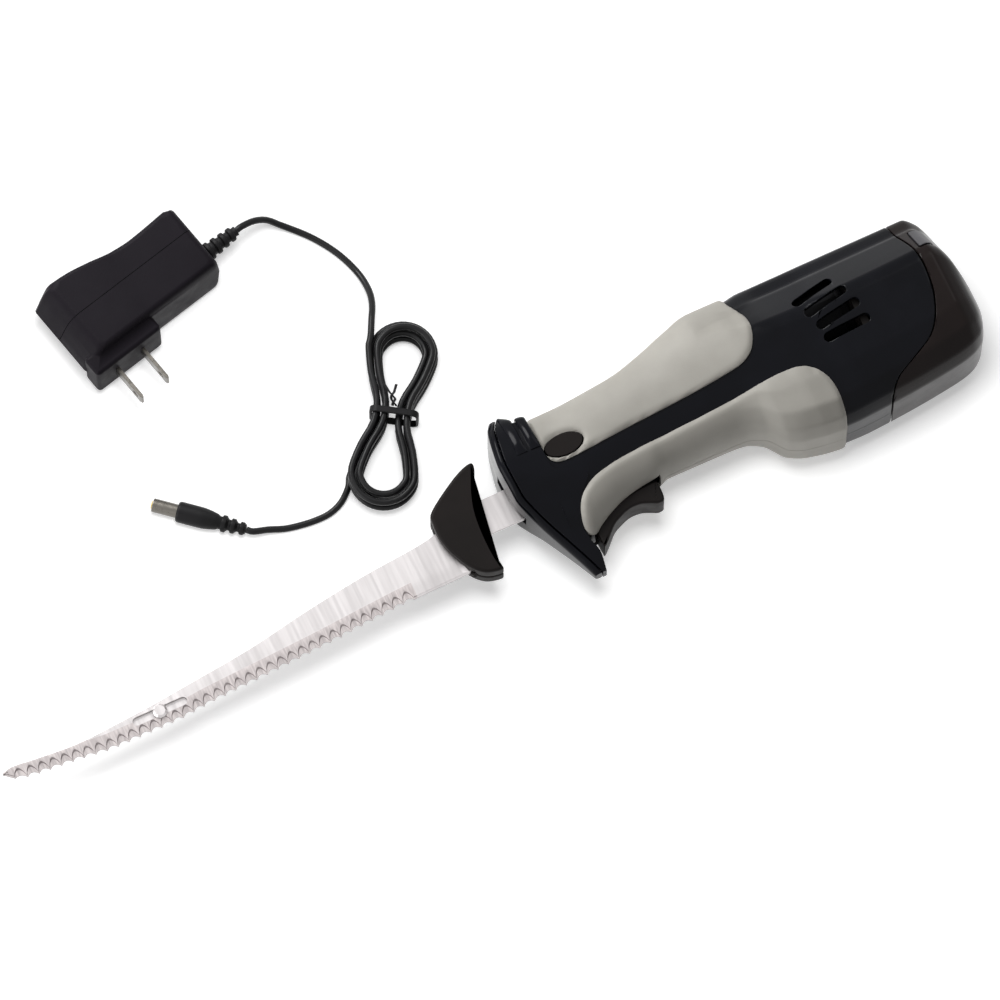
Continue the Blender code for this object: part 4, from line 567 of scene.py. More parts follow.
def slot_outline(x, y, length, half, slope, corners=9):
    """Outline of a slot with round ends, from its front end's centre, at a slope in degrees."""
    outline = []
    for end, first in ((length, -90), (0, 90)):
        for i in range(corners):
            angle = math.radians(first + 180 * i / (corners - 1))
            outline.append((end + half * math.cos(angle), half * math.sin(angle)))
    turn = math.radians(slope)
    return [(x + u * math.cos(turn) - v * math.sin(turn), y + u * math.sin(turn) + v * math.cos(turn))
            for u, v in outline]


BUTTON = (27.2, 9.2, 8.0, 4.5)
TRIGGER_SLOT = ((24.6, 57.2), (-40, -12.4), 7.6)
BLADE_SLOT = ((-3, 15), (-8.2, 12.0), 3.4)
VENTS = ((133.6, 21.9, 15.0, 13), (136.0, 15.4, 15.4, 11), (138.0, 8.8, 15.6, 9), (138.4, 2.8, 16.0, 3))
VENT_HALF = 2.0
SCREWS = ((13.0, 19.5), (78.0, -8.2), (84.0, 28.5), (142.0, -20.0))
SCREW_HEAD = 2.9
LIP_GROOVE = (13.0, 14.4, 1.0)
LIP_FOOT = 12.0
LIP_RIDGES = ((8.6, -0.5), (8.8, 0.4), (9.4, 0.9), (10.5, 1.1), (11.8, 1.1), (12.6, 0.8), (12.9, 0.2),
              (14.5, 0.2), (14.9, 0.8), (15.8, 1.1), (17.0, 1.1), (17.9, 0.8), (18.3, 0.2), (18.4, -0.5))

shell = body_skin("handle_shell_left", BODY_SPAN, 0, -2)
combine(shell, "UNION", swept("nose", nose_rings(NOSE_PLATE + GAP, nose_rear_at, -1)))
combine(shell, "DIFFERENCE", behind_seam("rear", -SEAM_GROOVE),
        body_skin("cavity", (14, BODY_END), -WALL, -6, step=6.0))
combine(shell, "DIFFERENCE",
        block("half", (-20, 220), (-60, 60), (-8, GAP / 2)),
        pushed_through("button_hole", oval(*BUTTON[:2], BUTTON[2] + GAP, BUTTON[3] + GAP), 9, 22),
        block("trigger_slot", *TRIGGER_SLOT[:2], (-9, TRIGGER_SLOT[2])),
        block("blade_slot", *BLADE_SLOT[:2], (-9, BLADE_SLOT[2])))
for x, y, length, slope in VENTS:
    combine(shell, "DIFFERENCE",
            pushed_through("vent", slot_outline(x, y, length, VENT_HALF, slope), 5, BEYOND))


def lip_levels(top):
    """Heights from the foot of the lip to its top."""
    return [LIP_FOOT + (top - LIP_FOOT) * i / 14 for i in range(15)]


lip = []
for x, swell in LIP_RIDGES:
    top = nose_top_at(x)
    side_line = [(x, y, nose_side(x, y) + swell * min(1, (y - LIP_FOOT) / 5)) for y in lip_levels(top)]
    lip.append([*side_line, (x, top + 0.8 * swell, nose_side(x, top) - 0.6), (x, top + swell, 5),
                (x, top + swell, 0), (x, top + swell, -2), (x, LIP_FOOT, -2)])
combine(shell, "UNION", swept("lip_ridges", lip))
groove = []
for x in LIP_GROOVE[:2]:
    top = nose_top_at(x) - LIP_GROOVE[2]
    inner_line = [(x, y, nose_side(x, y) - LIP_GROOVE[2]) for y in lip_levels(top)]
    groove.append([*inner_line, (x, top, -1), (x, 45, -1), (x, 45, 40), (x, LIP_FOOT, 40)])
combine(shell, "DIFFERENCE", swept("lip_groove", groove))
shell_right = cut_twin(shell, "handle_shell_right", SCREWS, 3.7)
# Only the edges of the vents and of the battery's seam are rounded
ROUNDED_FROM = 133
ROUNDED_ABOVE = 12
for piece, side in ((shell, "left"), (shell_right, "right")):
    soft_edges(piece, 0.4, where=lambda place: ROUNDED_FROM < place.x and abs(place.z) > ROUNDED_ABOVE)
    dress(piece, gloss_abs, "housing", "body_gloss", "housing_" + side)

# Nose plate
# A separate front plate of the same glossy black ABS, pressed on over both shells. It has a rounded
# rim, and the blade slot is cut through its middle.
plate = swept("front_plate", [whole_ring([(x, y, max(z, 0)) for x, y, z in ring])
                              for ring in nose_rings(0, lambda y: nose_front_at(y) + NOSE_PLATE, 0)])
combine(plate, "DIFFERENCE", block("slot", (-3, 12), BLADE_SLOT[1], (-BLADE_SLOT[2], BLADE_SLOT[2])))
soft_edges(plate, 0.4)
dress(plate, gloss_abs, "housing", "body_gloss", "nose_plate")

# Grips
# Warm grey thermoplastic rubber, moulded over the shells as four pads that stand 1.5 mm proud. It is
# dull, slightly mottled and velvety, and its rounded rim catches the light as a pale line.
GRIP_PROUD = 1.5
PAD_ROOT = 0.3
RIM_HEIGHT = 0.3
RIM_WIDTH = 2.2
PAD_STEP = 0.9
TOP_GRIP_OUTLINE = ((19.3, 60), (19.0, 20), (19.1, 9.5), (19.7, 6.0), (21.6, 3.9), (25, 3.2), (31.6, 3.4),
                    (58.4, 5.4), (84, 6.4), (97, 7.1), (103.4, 8.0), (108.2, 10.7), (111.2, 15.0),
                    (113.0, 20.5), (113.4, 25.5), (112.2, 30), (110, 36), (109.4, 60))
BELLY_GRIP_OUTLINE = ((24.6, -60), (24.0, -33), (21.9, -27.5), (21.0, -22.5), (21.9, -18), (23.6, -14.4),
                      (26.4, -11.2), (30.4, -8.5), (35.5, -6.6), (45, -4.9), (62.8, -3.6), (97.6, -2.8),
                      (117, -2.4), (123.1, -3.5), (126.6, -5.3), (129.5, -8.6), (131.6, -13.2), (132.3, -19),
                      (131.8, -26), (130.6, -34), (130, -60))


def smooth_line(points, count=6, closed=False):
    """More points on a smooth curve through the given ones."""
    points = [Vector(point) for point in points]
    if closed:
        padded = [points[-1], *points, points[0], points[1]]
    else:
        padded = [2 * points[0] - points[1], *points, 2 * points[-1] - points[-2]]
    fine = []
    for before, a, b, after in zip(padded, padded[1:], padded[2:], padded[3:]):
        for i in range(count):
            t = i / count
            fine.append(0.5 * (2 * a + (b - before) * t + (2 * before - 5 * a + 4 * b - after) * t ** 2
                               + (3 * a - before - 3 * b + after) * t ** 3))
    return fine if closed else [*fine, points[-1]]


def rim_distance(x, y, outline):
    """Distance in side view from a point to an outline, positive inside it."""
    least, inside = 1e9, False
    for (ax, ay), (bx, by) in zip(outline, outline[1:] + outline[:1]):
        run_x, run_y = bx - ax, by - ay
        share = ((x - ax) * run_x + (y - ay) * run_y) / (run_x ** 2 + run_y ** 2)
        share = min(max(share, 0), 1)
        least = min(least, (x - ax - share * run_x) ** 2 + (y - ay - share * run_y) ** 2)
        if (ay > y) != (by > y) and x < ax + (y - ay) / run_y * run_x:
            inside = not inside
    return math.sqrt(least) if inside else -math.sqrt(least)


def grip_pad(name, outline, hole=None):
    """A pad over the left shell, cut to a side-view outline, that rounds off towards its rim."""
    fine = [tuple(point) for point in [outline[0], *smooth_line(outline[1:-1], 4), outline[-1]]]
    low, high = min(x for x, y in outline) - 1, max(x for x, y in outline) + 1
    rings = []
    for x in steps(low, high, PAD_STEP):
        base = finer([Vector(point) for point in body_section(x, 0, GAP / 2)], 2)
        proud = finer([Vector(point) for point in body_section(x, 1, GAP / 2)], 2)
        ring = []
        for near, far in zip(base, proud):
            edge = rim_distance(x, near.y, fine)
            if hole:
                edge = min(edge, -rim_distance(x, near.y, hole))
            share = min(max(edge / RIM_WIDTH, 0), 1)
            height = RIM_HEIGHT + (GRIP_PROUD - RIM_HEIGHT) * math.sqrt(1 - (1 - share) ** 2)
            ring.append(near.lerp(far, height))
        rings.append(ring)
    pad = swept(name, rings)
    combine(pad, "INTERSECT", pushed_through("outline", fine, -5, 31))
    return combine(pad, "DIFFERENCE", body_skin("core", (low - 1, high + 1), -PAD_ROOT, -3, step=2.5))


# Soft touch rubber with a fine spark-eroded grain, drawn at 0.6 mm so that it shows
grip_rubber = moulded("grey_grip_rubber", "#9D9A93", "#A8A59E", 0.62, 0.6, 0.03, wear=0.06, gloss=0.35)
button_rim = [tuple(point) for point in oval(*BUTTON[:2], BUTTON[2] + GAP, BUTTON[3] + GAP, 32)]
top_grip = grip_pad("top_grip_pad_left", TOP_GRIP_OUTLINE, button_rim)
belly_grip = grip_pad("belly_grip_pad_left", BELLY_GRIP_OUTLINE)
combine(top_grip, "DIFFERENCE",
        pushed_through("button_hole", oval(*BUTTON[:2], BUTTON[2] + GAP, BUTTON[3] + GAP), 5, BEYOND))
combine(belly_grip, "DIFFERENCE",
        block("trigger_slot", (20, TRIGGER_SLOT[0][1]), TRIGGER_SLOT[1], (-9, TRIGGER_SLOT[2])),
        swept("flange", nose_rings(-GAP, lambda y: nose_rear_at(y) + GAP, -1)))
for pad, kind in ((top_grip, "top"), (belly_grip, "belly")):
    twin = cut_twin(pad, kind + "_grip_pad_right", SCREWS[1:3], 0)
    for piece, side in ((pad, "left"), (twin, "right")):
        soft_edges(piece, 0)
        dress(piece, grip_rubber, "housing", "grip_rubber", "%s_grip_%s" % (kind, side))

# Battery
# A lift-off pack in slightly browner black ABS, polished like the shells. It meets them at a curved
# seam, has a latch pad on each chamfer, and holds the charging socket in its flat end.
battery_abs = moulded("polished_brown_black_abs", "#1A1413", "#211A19", 0.22, 7.0, 0.02, wear=0.05,
                      gloss=0.1)
LATCH_PAD = ((186.8, 191.8), (21.8, 31.8))
JACK = (-2.0, 5.3)
case = swept("battery_shell", [whole_ring(body_section(x, 0, 0)) for x in
                               steps(148, 185, 2) + steps(186, BODY_END, 0.7)])
hollow = swept("hollow", [whole_ring(body_section(x, -WALL, 0)) for x in steps(143, 196.5, 4)])
windows = [block("window", (LATCH_PAD[0][0] - GAP, LATCH_PAD[0][1] + GAP),
                 (LATCH_PAD[1][0] - GAP, LATCH_PAD[1][1] + GAP), z_span) for z_span in ((6, 29), (-29, -6))]
combine(case, "INTERSECT", behind_seam("rear", SEAM_GROOVE))
combine(case, "DIFFERENCE", hollow, *windows)
deselect()
bpy.ops.mesh.primitive_cylinder_add(vertices=48, radius=JACK[1] * MM, depth=10 * MM,
                                    location=((BODY_END - 3 - ORIGIN.x) * MM, JACK[0] * MM, MIDDLE_HEIGHT),
                                    rotation=(0, math.pi / 2, 0))
socket = bpy.context.object
combine(case, "DIFFERENCE", socket)
soft_edges(case, 0.35)
dress(case, battery_abs, "battery", "battery_gloss", "battery_case")

# The pads are matt, and their colour is a shade lighter as a painted highlight: it stands in for the
# chamfer's reflection
latch_highlight_abs = moulded("charcoal_abs_painted_highlight", "#333236", "#3D3C40", 0.42, 0.6, 0.03, wear=0.06, gloss=0.4)
pad = swept("latch_pad_left", [body_section(x, 0.6, 0) for x in steps(184, 194, 1)])
combine(pad, "DIFFERENCE", swept("core", [body_section(x, -WALL, -1) for x in steps(183, 195, 1)]))
combine(pad, "INTERSECT", block("patch", *LATCH_PAD, (4, 31)))
for piece, side in ((pad, "left"), (mirror_twin(pad, "latch_pad_right"), "right")):
    soft_edges(piece, 0.5)
    dress(piece, latch_highlight_abs, side + "_latch", "battery_gloss", "battery_latch_" + side)

# Release buttons
# Oval push buttons of matt black nylon, one on each side, which stand in holes in the grips. They
# have a raised rim, are slightly dished for the thumb, and have a well underneath for their spring.
BUTTON_MIDDLE = 14.8
BUTTON_DEPTH = 5.6
BUTTON_DISH = ((0.5, 0.25), (0.5, 0.05), (0.9, -0.15), (1.0, -0.25), (0.8, -0.1))
SPRING_WELL = 3.6
WELL_SPAN = (11.0, 14.4)
# Glass-filled nylon is dull with a fine grain, and goes slightly grey where fingers rub it
matt_black = moulded("matt_black_nylon", "#120F0E", "#181413", 0.5, 0.5, 0.02, gloss=0.1)
for side, sign in (("left", 1), ("right", -1)):
    deselect()
    bpy.ops.mesh.primitive_cylinder_add(vertices=64, radius=1, depth=BUTTON_DEPTH * MM, end_fill_type="NGON",
                                        location=in_row([(*BUTTON[:2], sign * BUTTON_MIDDLE)])[0])
    button = bpy.context.object
    button.name = "release_oval_" + side
    button.scale = (BUTTON[2] * MM, BUTTON[3] * MM, 1)
    bpy.ops.object.transform_apply(location=True, rotation=True, scale=True)
    top = MIDDLE_HEIGHT + sign * (BUTTON_MIDDLE + BUTTON_DEPTH / 2) * MM
    for vertex in button.data.vertices:
        vertex.select = False
    for face in button.data.polygons:
        face.select = abs(face.center.z - top) < 0.0001
    bpy.ops.object.mode_set(mode="EDIT")
    bpy.ops.mesh.select_mode(type="FACE")
    for thickness, depth in BUTTON_DISH:
        bpy.ops.mesh.inset(thickness=thickness * MM, depth=depth * MM, use_even_offset=True)
    bpy.ops.mesh.select_mode(type="VERT")
    bpy.ops.object.mode_set(mode="OBJECT")
    well = pushed_through("spring_well", oval(*BUTTON[:2], SPRING_WELL, SPRING_WELL, 32), *sorted(
        (sign * WELL_SPAN[0], sign * WELL_SPAN[1])))
    combine(button, "DIFFERENCE", well)
    soft_edges(button, 0)
    dress(button, matt_black, side + "_button", "matte_black", "release_button_" + side)

# Trigger
# A curved lever of matt black nylon for the forefinger, moulded in one piece with rounded edges. It
# hangs on a steel pin at its front end, in the slot of both shells.
TRIGGER_OUTLINE = ((25.2, -31.2), (26.2, -32.0), (29.8, -28.7), (32.4, -26.2), (35, -24.6), (40.5, -22.6),
                   (45.4, -22.6), (49, -23.9), (52.2, -25.3), (54.8, -24.3), (55.2, -18.0), (53.5, -16.4),
                   (44, -16.9), (37, -17.9), (31.5, -16.3), (28.5, -15.8), (25.9, -17.2), (25.0, -20.5))
TRIGGER_WELL = ((44.2, 51.0), (-20.6, -14.0), (-2.9, 2.9))
trigger = pushed_through("finger_trigger", smooth_line(TRIGGER_OUTLINE, 5, True), -7, 7)
combine(trigger, "DIFFERENCE", block("spring_well", *TRIGGER_WELL))
soft_edges(trigger, 1.0, segments=3, angle=60, where=lambda place: abs(place.z) > 5)
dress(trigger, matt_black, "trigger", "matte_black", "trigger")

# Finger guards
# Crescents of matt black nylon, one moulded on the heel of each blade. They are flat-faced with a
# rounded rim, and have a bed on the inside for the blade.
GUARD_FRONT = ((20.9, -8.0), (18.0, -16.0), (9.4, -29.4), (4.5, -31.3), (-2.0, -31.4), (-8.2, -30.0),
               (-17.0, -26.0), (-22.2, -21.0), (-23.8, -14.6))
GUARD_REAR = ((-22.0, -13.9), (-17.6, -14.5), (-8.7, -14.6), (2.0, -13.5), (10.9, -10.6), (18.2, -7.0))
GUARD_Z = (0.15, 6.8)
BLADE_BED = ((-36, 1.2), (-28, 3.6), (-20, 7.1), (0, 7.1), (0, -7.5), (-12, -7.5), (-17, -14.2),
             (-24, -18.9), (-36, -19.2))
outline = [(x, y) for y, x in GUARD_FRONT] + [(x, y) for y, x in GUARD_REAR]
guard = pushed_through("finger_guard_left", smooth_line(outline, 5, True), *GUARD_Z)
combine(guard, "DIFFERENCE", pushed_through("bed", BLADE_BED, -1, 1.45))
for piece, side in ((guard, "left"), (mirror_twin(guard, "finger_guard_right"), "right")):
    soft_edges(piece, 1.2, segments=4, angle=60)
    dress(piece, matt_black, side + "_blade", "matte_black", "guard_" + side)

# Blades
# A pair of stainless blades, 1 mm thick, that slide side by side. Each is ground flat inside, with a
# wide satin bevel and round scallops along its cutting edge, and the rivet keeps the pair together.
TANG_END = 39.0
TANG_START = -27.0
BLADE_Z = (0.15, 1.15)
SPINE_EDGE = ((-224, -15.4), (-220, -14.6), (-210, -15.6), (-192, -16.9), (-175, -16.0), (-160, -14.9),
              (-146, -13.4), (-118, -10.4), (-89, -5.5), (-64, -2.1), (-36, 0.6), (-28, 3.0), (-20, 6.8))
CUTTING_EDGE = ((-224, -16.0), (-218, -20.3), (-206, -21.8), (-194.6, -22.8), (-180, -24.4), (-153, -24.6),
                (-140, -23.6), (-113, -22.4), (-90, -21.3), (-67.5, -19.8), (-47, -18.7), (-27, -18.3),
                (-19, -13.0), (-14, -7.2))
BEVEL_HEIGHT = 6.5
# The ground planes meet at small angles, and these edges have to stay crisp
GRIND_ANGLE = math.radians(12)
SCALLOPS = (-50.0, 4.6, 37, 1.4)
RIVET = (-158.5, -18.3, 1.2, 2.9)
spine_edge_at = curve_through(SPINE_EDGE)
cutting_edge_at = curve_through(CUTTING_EDGE)


def blade_ring(x, depth):
    """Section of the left blade: flat inside, satin flat, bevel and scallop outside."""
    spine, edge = spine_edge_at(x), cutting_edge_at(x) + depth
    low, high = BLADE_Z
    if x > TANG_START:
        return [(x, spine, low), (x, spine, high), (x, edge + 0.3, high), (x, edge + 0.25, high),
                (x, edge + 0.2, high), (x, edge + 0.15, high), (x, edge, high), (x, edge, low)]
    line = min(cutting_edge_at(x) + BEVEL_HEIGHT, spine - 0.5)
    grind = min(edge + 1.0 + 1.5 * depth, line - 0.3)
    share = (line - grind) / max(line - cutting_edge_at(x), 0.1)
    return [(x, spine, low), (x, spine, high), (x, line, high), (x, (line + grind) / 2, high - 0.26 * share),
            (x, grind, high - 0.5 * share), (x, grind - 0.25 * (grind - edge), low + 0.34),
            (x, edge, low + 0.2), (x, edge, low)]


first = SCALLOPS[0] - SCALLOPS[2] * SCALLOPS[1]
places = {x: 0.0 for x in (-224.0, -223.0, -222.0, -221.0)}
for i in range(SCALLOPS[2]):
    for k in range(8):
        places[first + (i + k / 8) * SCALLOPS[1]] = SCALLOPS[3] * math.sin(math.pi * k / 8) ** 0.8
for x in (*steps(SCALLOPS[0], -14, 1.5), TANG_END):
    places[x] = 0.0
# Cut steel is bright and even, and the ground bevel is greyer, with grinding marks across the edge
satin = cut_steel("satin_stainless_steel", "#C6C2C2", "#D1CDCD", 0.34, (700.0, 25.0, 25.0), 0.0006)
ground = cut_steel("ground_stainless_bevel", "#ABA4A4", "#C6BFBE", 0.42, (1500.0, 160.0, 160.0), 0.01)
# The steep walls of the scallops get a much darker steel: painted shade for walls that tilt away and mirror
# the shadowed table
scallop_wall_shade = cut_steel("scallop_wall_painted_shade", "#716A6A", "#918A8A", 0.45, (1500.0, 160.0, 160.0), 0.01)
blade = swept("scalloped_blade_left", [blade_ring(x, depth) for x, depth in sorted(places.items())])
blade_twin = mirror_twin(blade, "scalloped_blade_right")
combine(blade, "DIFFERENCE",
        pushed_through("slot", slot_outline(RIVET[0] - 9.8, RIVET[1], 19.6, RIVET[2] + 0.5, 0), -1, 3))
for piece, side in ((blade, "left"), (blade_twin, "right")):
    soft_edges(piece, 0)
    pick(piece)
    bpy.ops.object.shade_smooth_by_angle(angle=GRIND_ANGLE)
    dress(piece, satin, side + "_blade", "blade_steel", "blade_" + side)
    piece.data.materials.append(ground)
    piece.data.materials.append(scallop_wall_shade)
    for face in piece.data.polygons:
        x, y, z = face.center / MM + ORIGIN
        rise = y - cutting_edge_at(x)
        outer_side = abs(z) > 0.3 and abs(face.normal.z) > 0.3
        # Bevel faces take the ground steel, and the steeply tilted scallop walls take the darker steel of
        # painted shade
        if x < SCALLOPS[0] + 1 and rise < BEVEL_HEIGHT and outer_side:
            face.material_index = 2 if abs(face.normal.y) > 0.25 else 1

# Charger
# A plug-in mains adapter in two halves of black ABS with a fine spark-eroded grain, welded along a
# seam. Its broad faces draw in towards the ends, and its prong block stands out from the front half.
FLOOR = -26.0
CHARGER_PLACE = (-96.6, 146.5)
CHARGER_TURN = 14.0
CASE_HALF_LENGTH = 33.75
CASE_HEIGHT = 28.0
CASE_FRONT = -15.6
CASE_BACK = ((-33.75, 18.6), (-31.5, 19.9), (-24, 19.6), (-12, 17.8), (0, 15.4), (10, 14.6), (22, 15.0),
             (30, 15.4), (33.75, 14.6))
CASE_SEAM = 2.4
CASE_SEAM_GAP = 0.12
CASE_WALL = 2.0
CASE_EDGE = ((0.0, 2.6), (0.012, 1.5), (0.035, 0.75), (0.08, 0.25), (0.16, 0.0), (0.5, 0.0))
CASE_END = ((0.0, 7.5), (0.08, 5.5), (0.5, 0.0))
CASE_LEVELS = (0, 0.012, 0.035, 0.08, 0.16, 0.25, 0.37, 0.499, 0.5)
CASE_FRONT_CORNER = 2.5
CASE_BACK_CORNER = 1.6
PRONG_CENTRE = -17.0
PRONG_SPACING = 12.7
PRONG_SIZE = (1.5, 6.35, 15.9)
PRONG_Z = 13.5
PRONG_BLOCK = (16.0, 6.0, 3.5)
PRONG_ROOT = 3.0
PRONG_HOLE = 1.5
# A span that holds the whole charger, for cuts that run out of it
AROUND = (-60, 60)
RELIEF_Y = -5.6
RELIEF_LENGTH = 15.0
RELIEF_NECK = 3.2
RELIEF_NECK_RADIUS = 3.2
RELIEF_HOLE = RELIEF_NECK_RADIUS + 0.2
case_back_at = curve_through(CASE_BACK)
case_edge_at = curve_through(CASE_EDGE)
case_end_at = curve_through(CASE_END)
charger_way = heading(CHARGER_TURN)
charger_up = heading(CHARGER_TURN + 90)


def by_charger(x, y, z):
    """A place in the charger's own frame, with z as height above the floor, in the knife's frame."""
    return Vector((*CHARGER_PLACE, FLOOR + z)) + charger_way * x + charger_up * y


def case_ring(share, inset):
    """The case's outline at a share of its height, with rounded corners and its ends drawn in."""
    edge, end = case_edge_at(share) + inset, case_end_at(share)
    left, right_end = edge + end - CASE_HALF_LENGTH, CASE_HALF_LENGTH - edge - 0.2 * end
    front = CASE_FRONT + edge
    ring = []
    for x, side, back_corner, first in ((right_end, 1, False, 270), (right_end, 1, True, 0),
                                        (left, -1, True, 90), (left, -1, False, 180)):
        radius = CASE_BACK_CORNER if back_corner else CASE_FRONT_CORNER
        level = case_back_at(side * CASE_HALF_LENGTH) - edge - radius if back_corner else front + radius
        for i in range(6):
            angle = math.radians(first + 18 * i)
            ring.append((x - side * radius + radius * math.cos(angle), level + radius * math.sin(angle)))
        if first == 0:
            for share_along in (1 - i / 32 for i in range(1, 32)):
                inner = CASE_HALF_LENGTH - radius
                ring.append((left + radius + (right_end - left - 2 * radius) * share_along,
                             case_back_at(inner * (2 * share_along - 1)) - edge))
    return ring


def charger_case(name, inset, front):
    """The whole case, or its hollow, from the seam forwards or backwards."""
    rings = []
    for share in (*CASE_LEVELS, *(1 - share for share in reversed(CASE_LEVELS[:-1]))):
        z = inset + (CASE_HEIGHT - 2 * inset) * share
        rings.append([by_charger(x, y, z) for x, y in case_ring(min(share, 1 - share), inset)])
    thing = swept(name, rings)
    if inset:
        return thing
    combine(thing, "DIFFERENCE", charger_case("hollow", CASE_WALL, front))
    if front:
        half, depth, margin = PRONG_BLOCK
        stand = charger_block("stand", (PRONG_CENTRE - half, PRONG_CENTRE + half),
                              (CASE_FRONT - depth, CASE_FRONT + PRONG_ROOT), (margin, CASE_HEIGHT - margin))
        soft_edges(stand, 1.6, segments=3)
        combine(thing, "UNION", stand)
        return combine(thing, "DIFFERENCE",
                       charger_block("beyond", AROUND, (CASE_SEAM - CASE_SEAM_GAP, AROUND[1]), AROUND))
    return combine(thing, "DIFFERENCE",
                   charger_block("nearer", AROUND, (AROUND[0], CASE_SEAM + CASE_SEAM_GAP), AROUND))


def charger_prism(name, outline, z_span):
    """An outline seen from above, in the charger's own frame, extruded between two heights."""
    placed = [tuple(by_charger(x, y, 0))[:2] for x, y in outline]
    return pushed_through(name, placed, FLOOR + z_span[0], FLOOR + z_span[1])


def charger_block(name, x_span, y_span, z_span):
    """A block in the charger's own frame."""
    return charger_prism(name, rectangle(x_span, y_span), z_span)


def turned(name, start, way, profile, sides=40):
    """A solid of revolution from (distance, radius) pairs along an axis."""
    way = Vector(way).normalized()
    across = way.cross(Vector((0, 0, 1))).normalized()
    up = across.cross(way)
    angles = [math.tau * i / sides for i in range(sides)]
    return swept(name, [[Vector(start) + way * distance + (across * math.cos(a) + up * math.sin(a)) * radius
                         for a in angles] for distance, radius in profile])


# Textured ABS is dull black, and its grain of about 0.3 mm is drawn at 0.7 mm so that it shows
textured_abs = moulded("textured_black_abs", "#161318", "#1B181D", 0.5, 0.7, 0.03, wear=0.07, gloss=0.06)
case_front = charger_case("charger_front_half", 0, True)
case_rear = charger_case("charger_back_half", 0, False)
prong_places = [PRONG_CENTRE + sign * PRONG_SPACING / 2 for sign in (-1, 1)]
prong_face = CASE_FRONT - PRONG_BLOCK[1]
thick, broad, long_side = PRONG_SIZE
for x in prong_places:
    hole = charger_block("prong_slot", (x - thick / 2 - 0.1, x + thick / 2 + 0.1), (prong_face - 1, 0),
                         (PRONG_Z - broad / 2 - 0.1, PRONG_Z + broad / 2 + 0.1))
    combine(case_front, "DIFFERENCE", hole)
relief_start = by_charger(CASE_HALF_LENGTH - RELIEF_NECK, RELIEF_Y, CASE_HEIGHT / 2)
hole = turned("relief_hole", relief_start, charger_way, ((0, RELIEF_HOLE), (9, RELIEF_HOLE)))
combine(case_front, "DIFFERENCE", hole)
for piece, side in ((case_front, "front"), (case_rear, "back")):
    soft_edges(piece, 0)
    dress(piece, textured_abs, "housing", "charger_black", "charger_case_" + side)

# Charger prongs
# Two flat blades of nickel-plated brass with chamfered tips and a round hole near the end, moulded
# into the prong block of the front half.
# Nickel plate is bright, a little yellow, with fine rubbing marks along the prongs
nickel = rubbed_metal("nickel_plated_brass", "#6A6762", "#75716B", 0.3, 2.0)
for number, x in enumerate(prong_places, 1):
    tip, root = prong_face - long_side, CASE_FRONT + PRONG_ROOT
    half = thick / 2
    outline = ((x - half, root), (x - half, tip + 1), (x - half / 2, tip), (x + half / 2, tip),
               (x + half, tip + 1), (x + half, root))
    prong = charger_prism("mains_prong_%d" % number, outline, (PRONG_Z - broad / 2, PRONG_Z + broad / 2))
    hole = turned("hole", by_charger(x - 3, tip + 4, PRONG_Z), charger_way,
                  ((0, PRONG_HOLE), (6, PRONG_HOLE)), sides=24)
    combine(prong, "DIFFERENCE", hole)
    soft_edges(prong, 0.2)
    dress(prong, nickel, "housing", "prong_nickel", "prong_%d" % number)

# Strain relief
# A sleeve of soft black PVC, moulded round the cord and held by its neck in the end of the charger.
# Four ribs with gaps between them let it bend. Soft PVC is half matt, with faint pale handling marks.
black_pvc = moulded("soft_black_pvc", "#101011", "#171618", 0.48, 0.8, 0.02, gloss=0.15)

RIB_SHAPE = ((0, 0.8), (0.04, 0.3), (0.1, 0.08), (0.2, 0), (0.42, 0), (0.52, 0.08), (0.58, 0.3),
             (0.62, 0.95), (0.7, 1.0), (0.92, 1.0))


def ribbed_profile(neck, neck_radius, length, ribs, end_radius):
    """A neck, then rounded ribs that shrink towards the cord, as (distance, radius) pairs."""
    profile = [(0, neck_radius), (neck, neck_radius)]
    width = (length - 0.6) / ribs
    for i in range(ribs):
        radius = neck_radius + 0.6 + (end_radius - neck_radius) * i / ribs
        start = neck + 0.4 + width * i
        profile += [(start + share * width, radius - drop) for share, drop in RIB_SHAPE]
    return profile + [(neck + length, end_radius)]


relief = turned("ribbed_relief", relief_start, charger_way,
                ribbed_profile(RELIEF_NECK, RELIEF_NECK_RADIUS, RELIEF_LENGTH, ribs=4, end_radius=2.1))
soft_edges(relief, 0)
dress(relief, black_pvc, "housing", "charger_black", "strain_relief")

# Charger cord
# One round 2.7 mm PVC cord, from the charger's relief over the table, wound into a hank of four layers
# and back to the barrel plug. It is dull black, with a faint draw grain along its length.
CORD = 2.7
LEAD_ROUTE = ((-42.0, 154.2, 13.2), (-35.0, 154.2, 8.2), (-28.5, 150.2, 2.6), (-21.0, 142.5, 1.4),
              (-14.0, 131.5, 1.4), (-9.8, 119.0, 1.9), (-10.4, 107.0, 7.2), (-14.6, 97.6, 12.0))
TAIL_ROUTE = ((-54.0, 37.8, 2.0), (-61.5, 34.6, 1.4), (-70.2, 34.4, 1.4), (-80.5, 36.2, 1.5),
              (-88.6, 38.9, 3.2))
HANK_CENTRE = (-23.0, 58.5)
HANK_TURN = 56.6
HANK_FOLD_AT = 25.0
HANK_OUTER = 13.8
HANK_STEP = 3.42
HANK_WAIST = 6.6
HANK_LAYER = 3.2
HANK_LAYERS = 4
TURN_POINTS = 24
FOLD_POINTS = 7
RUN_POINTS = 5
TIE_THICK = 1.2
PLUG_AT = (-94.9, 41.6)
PLUG_TURN = 139.4
PLUG_RADIUS = 4.2


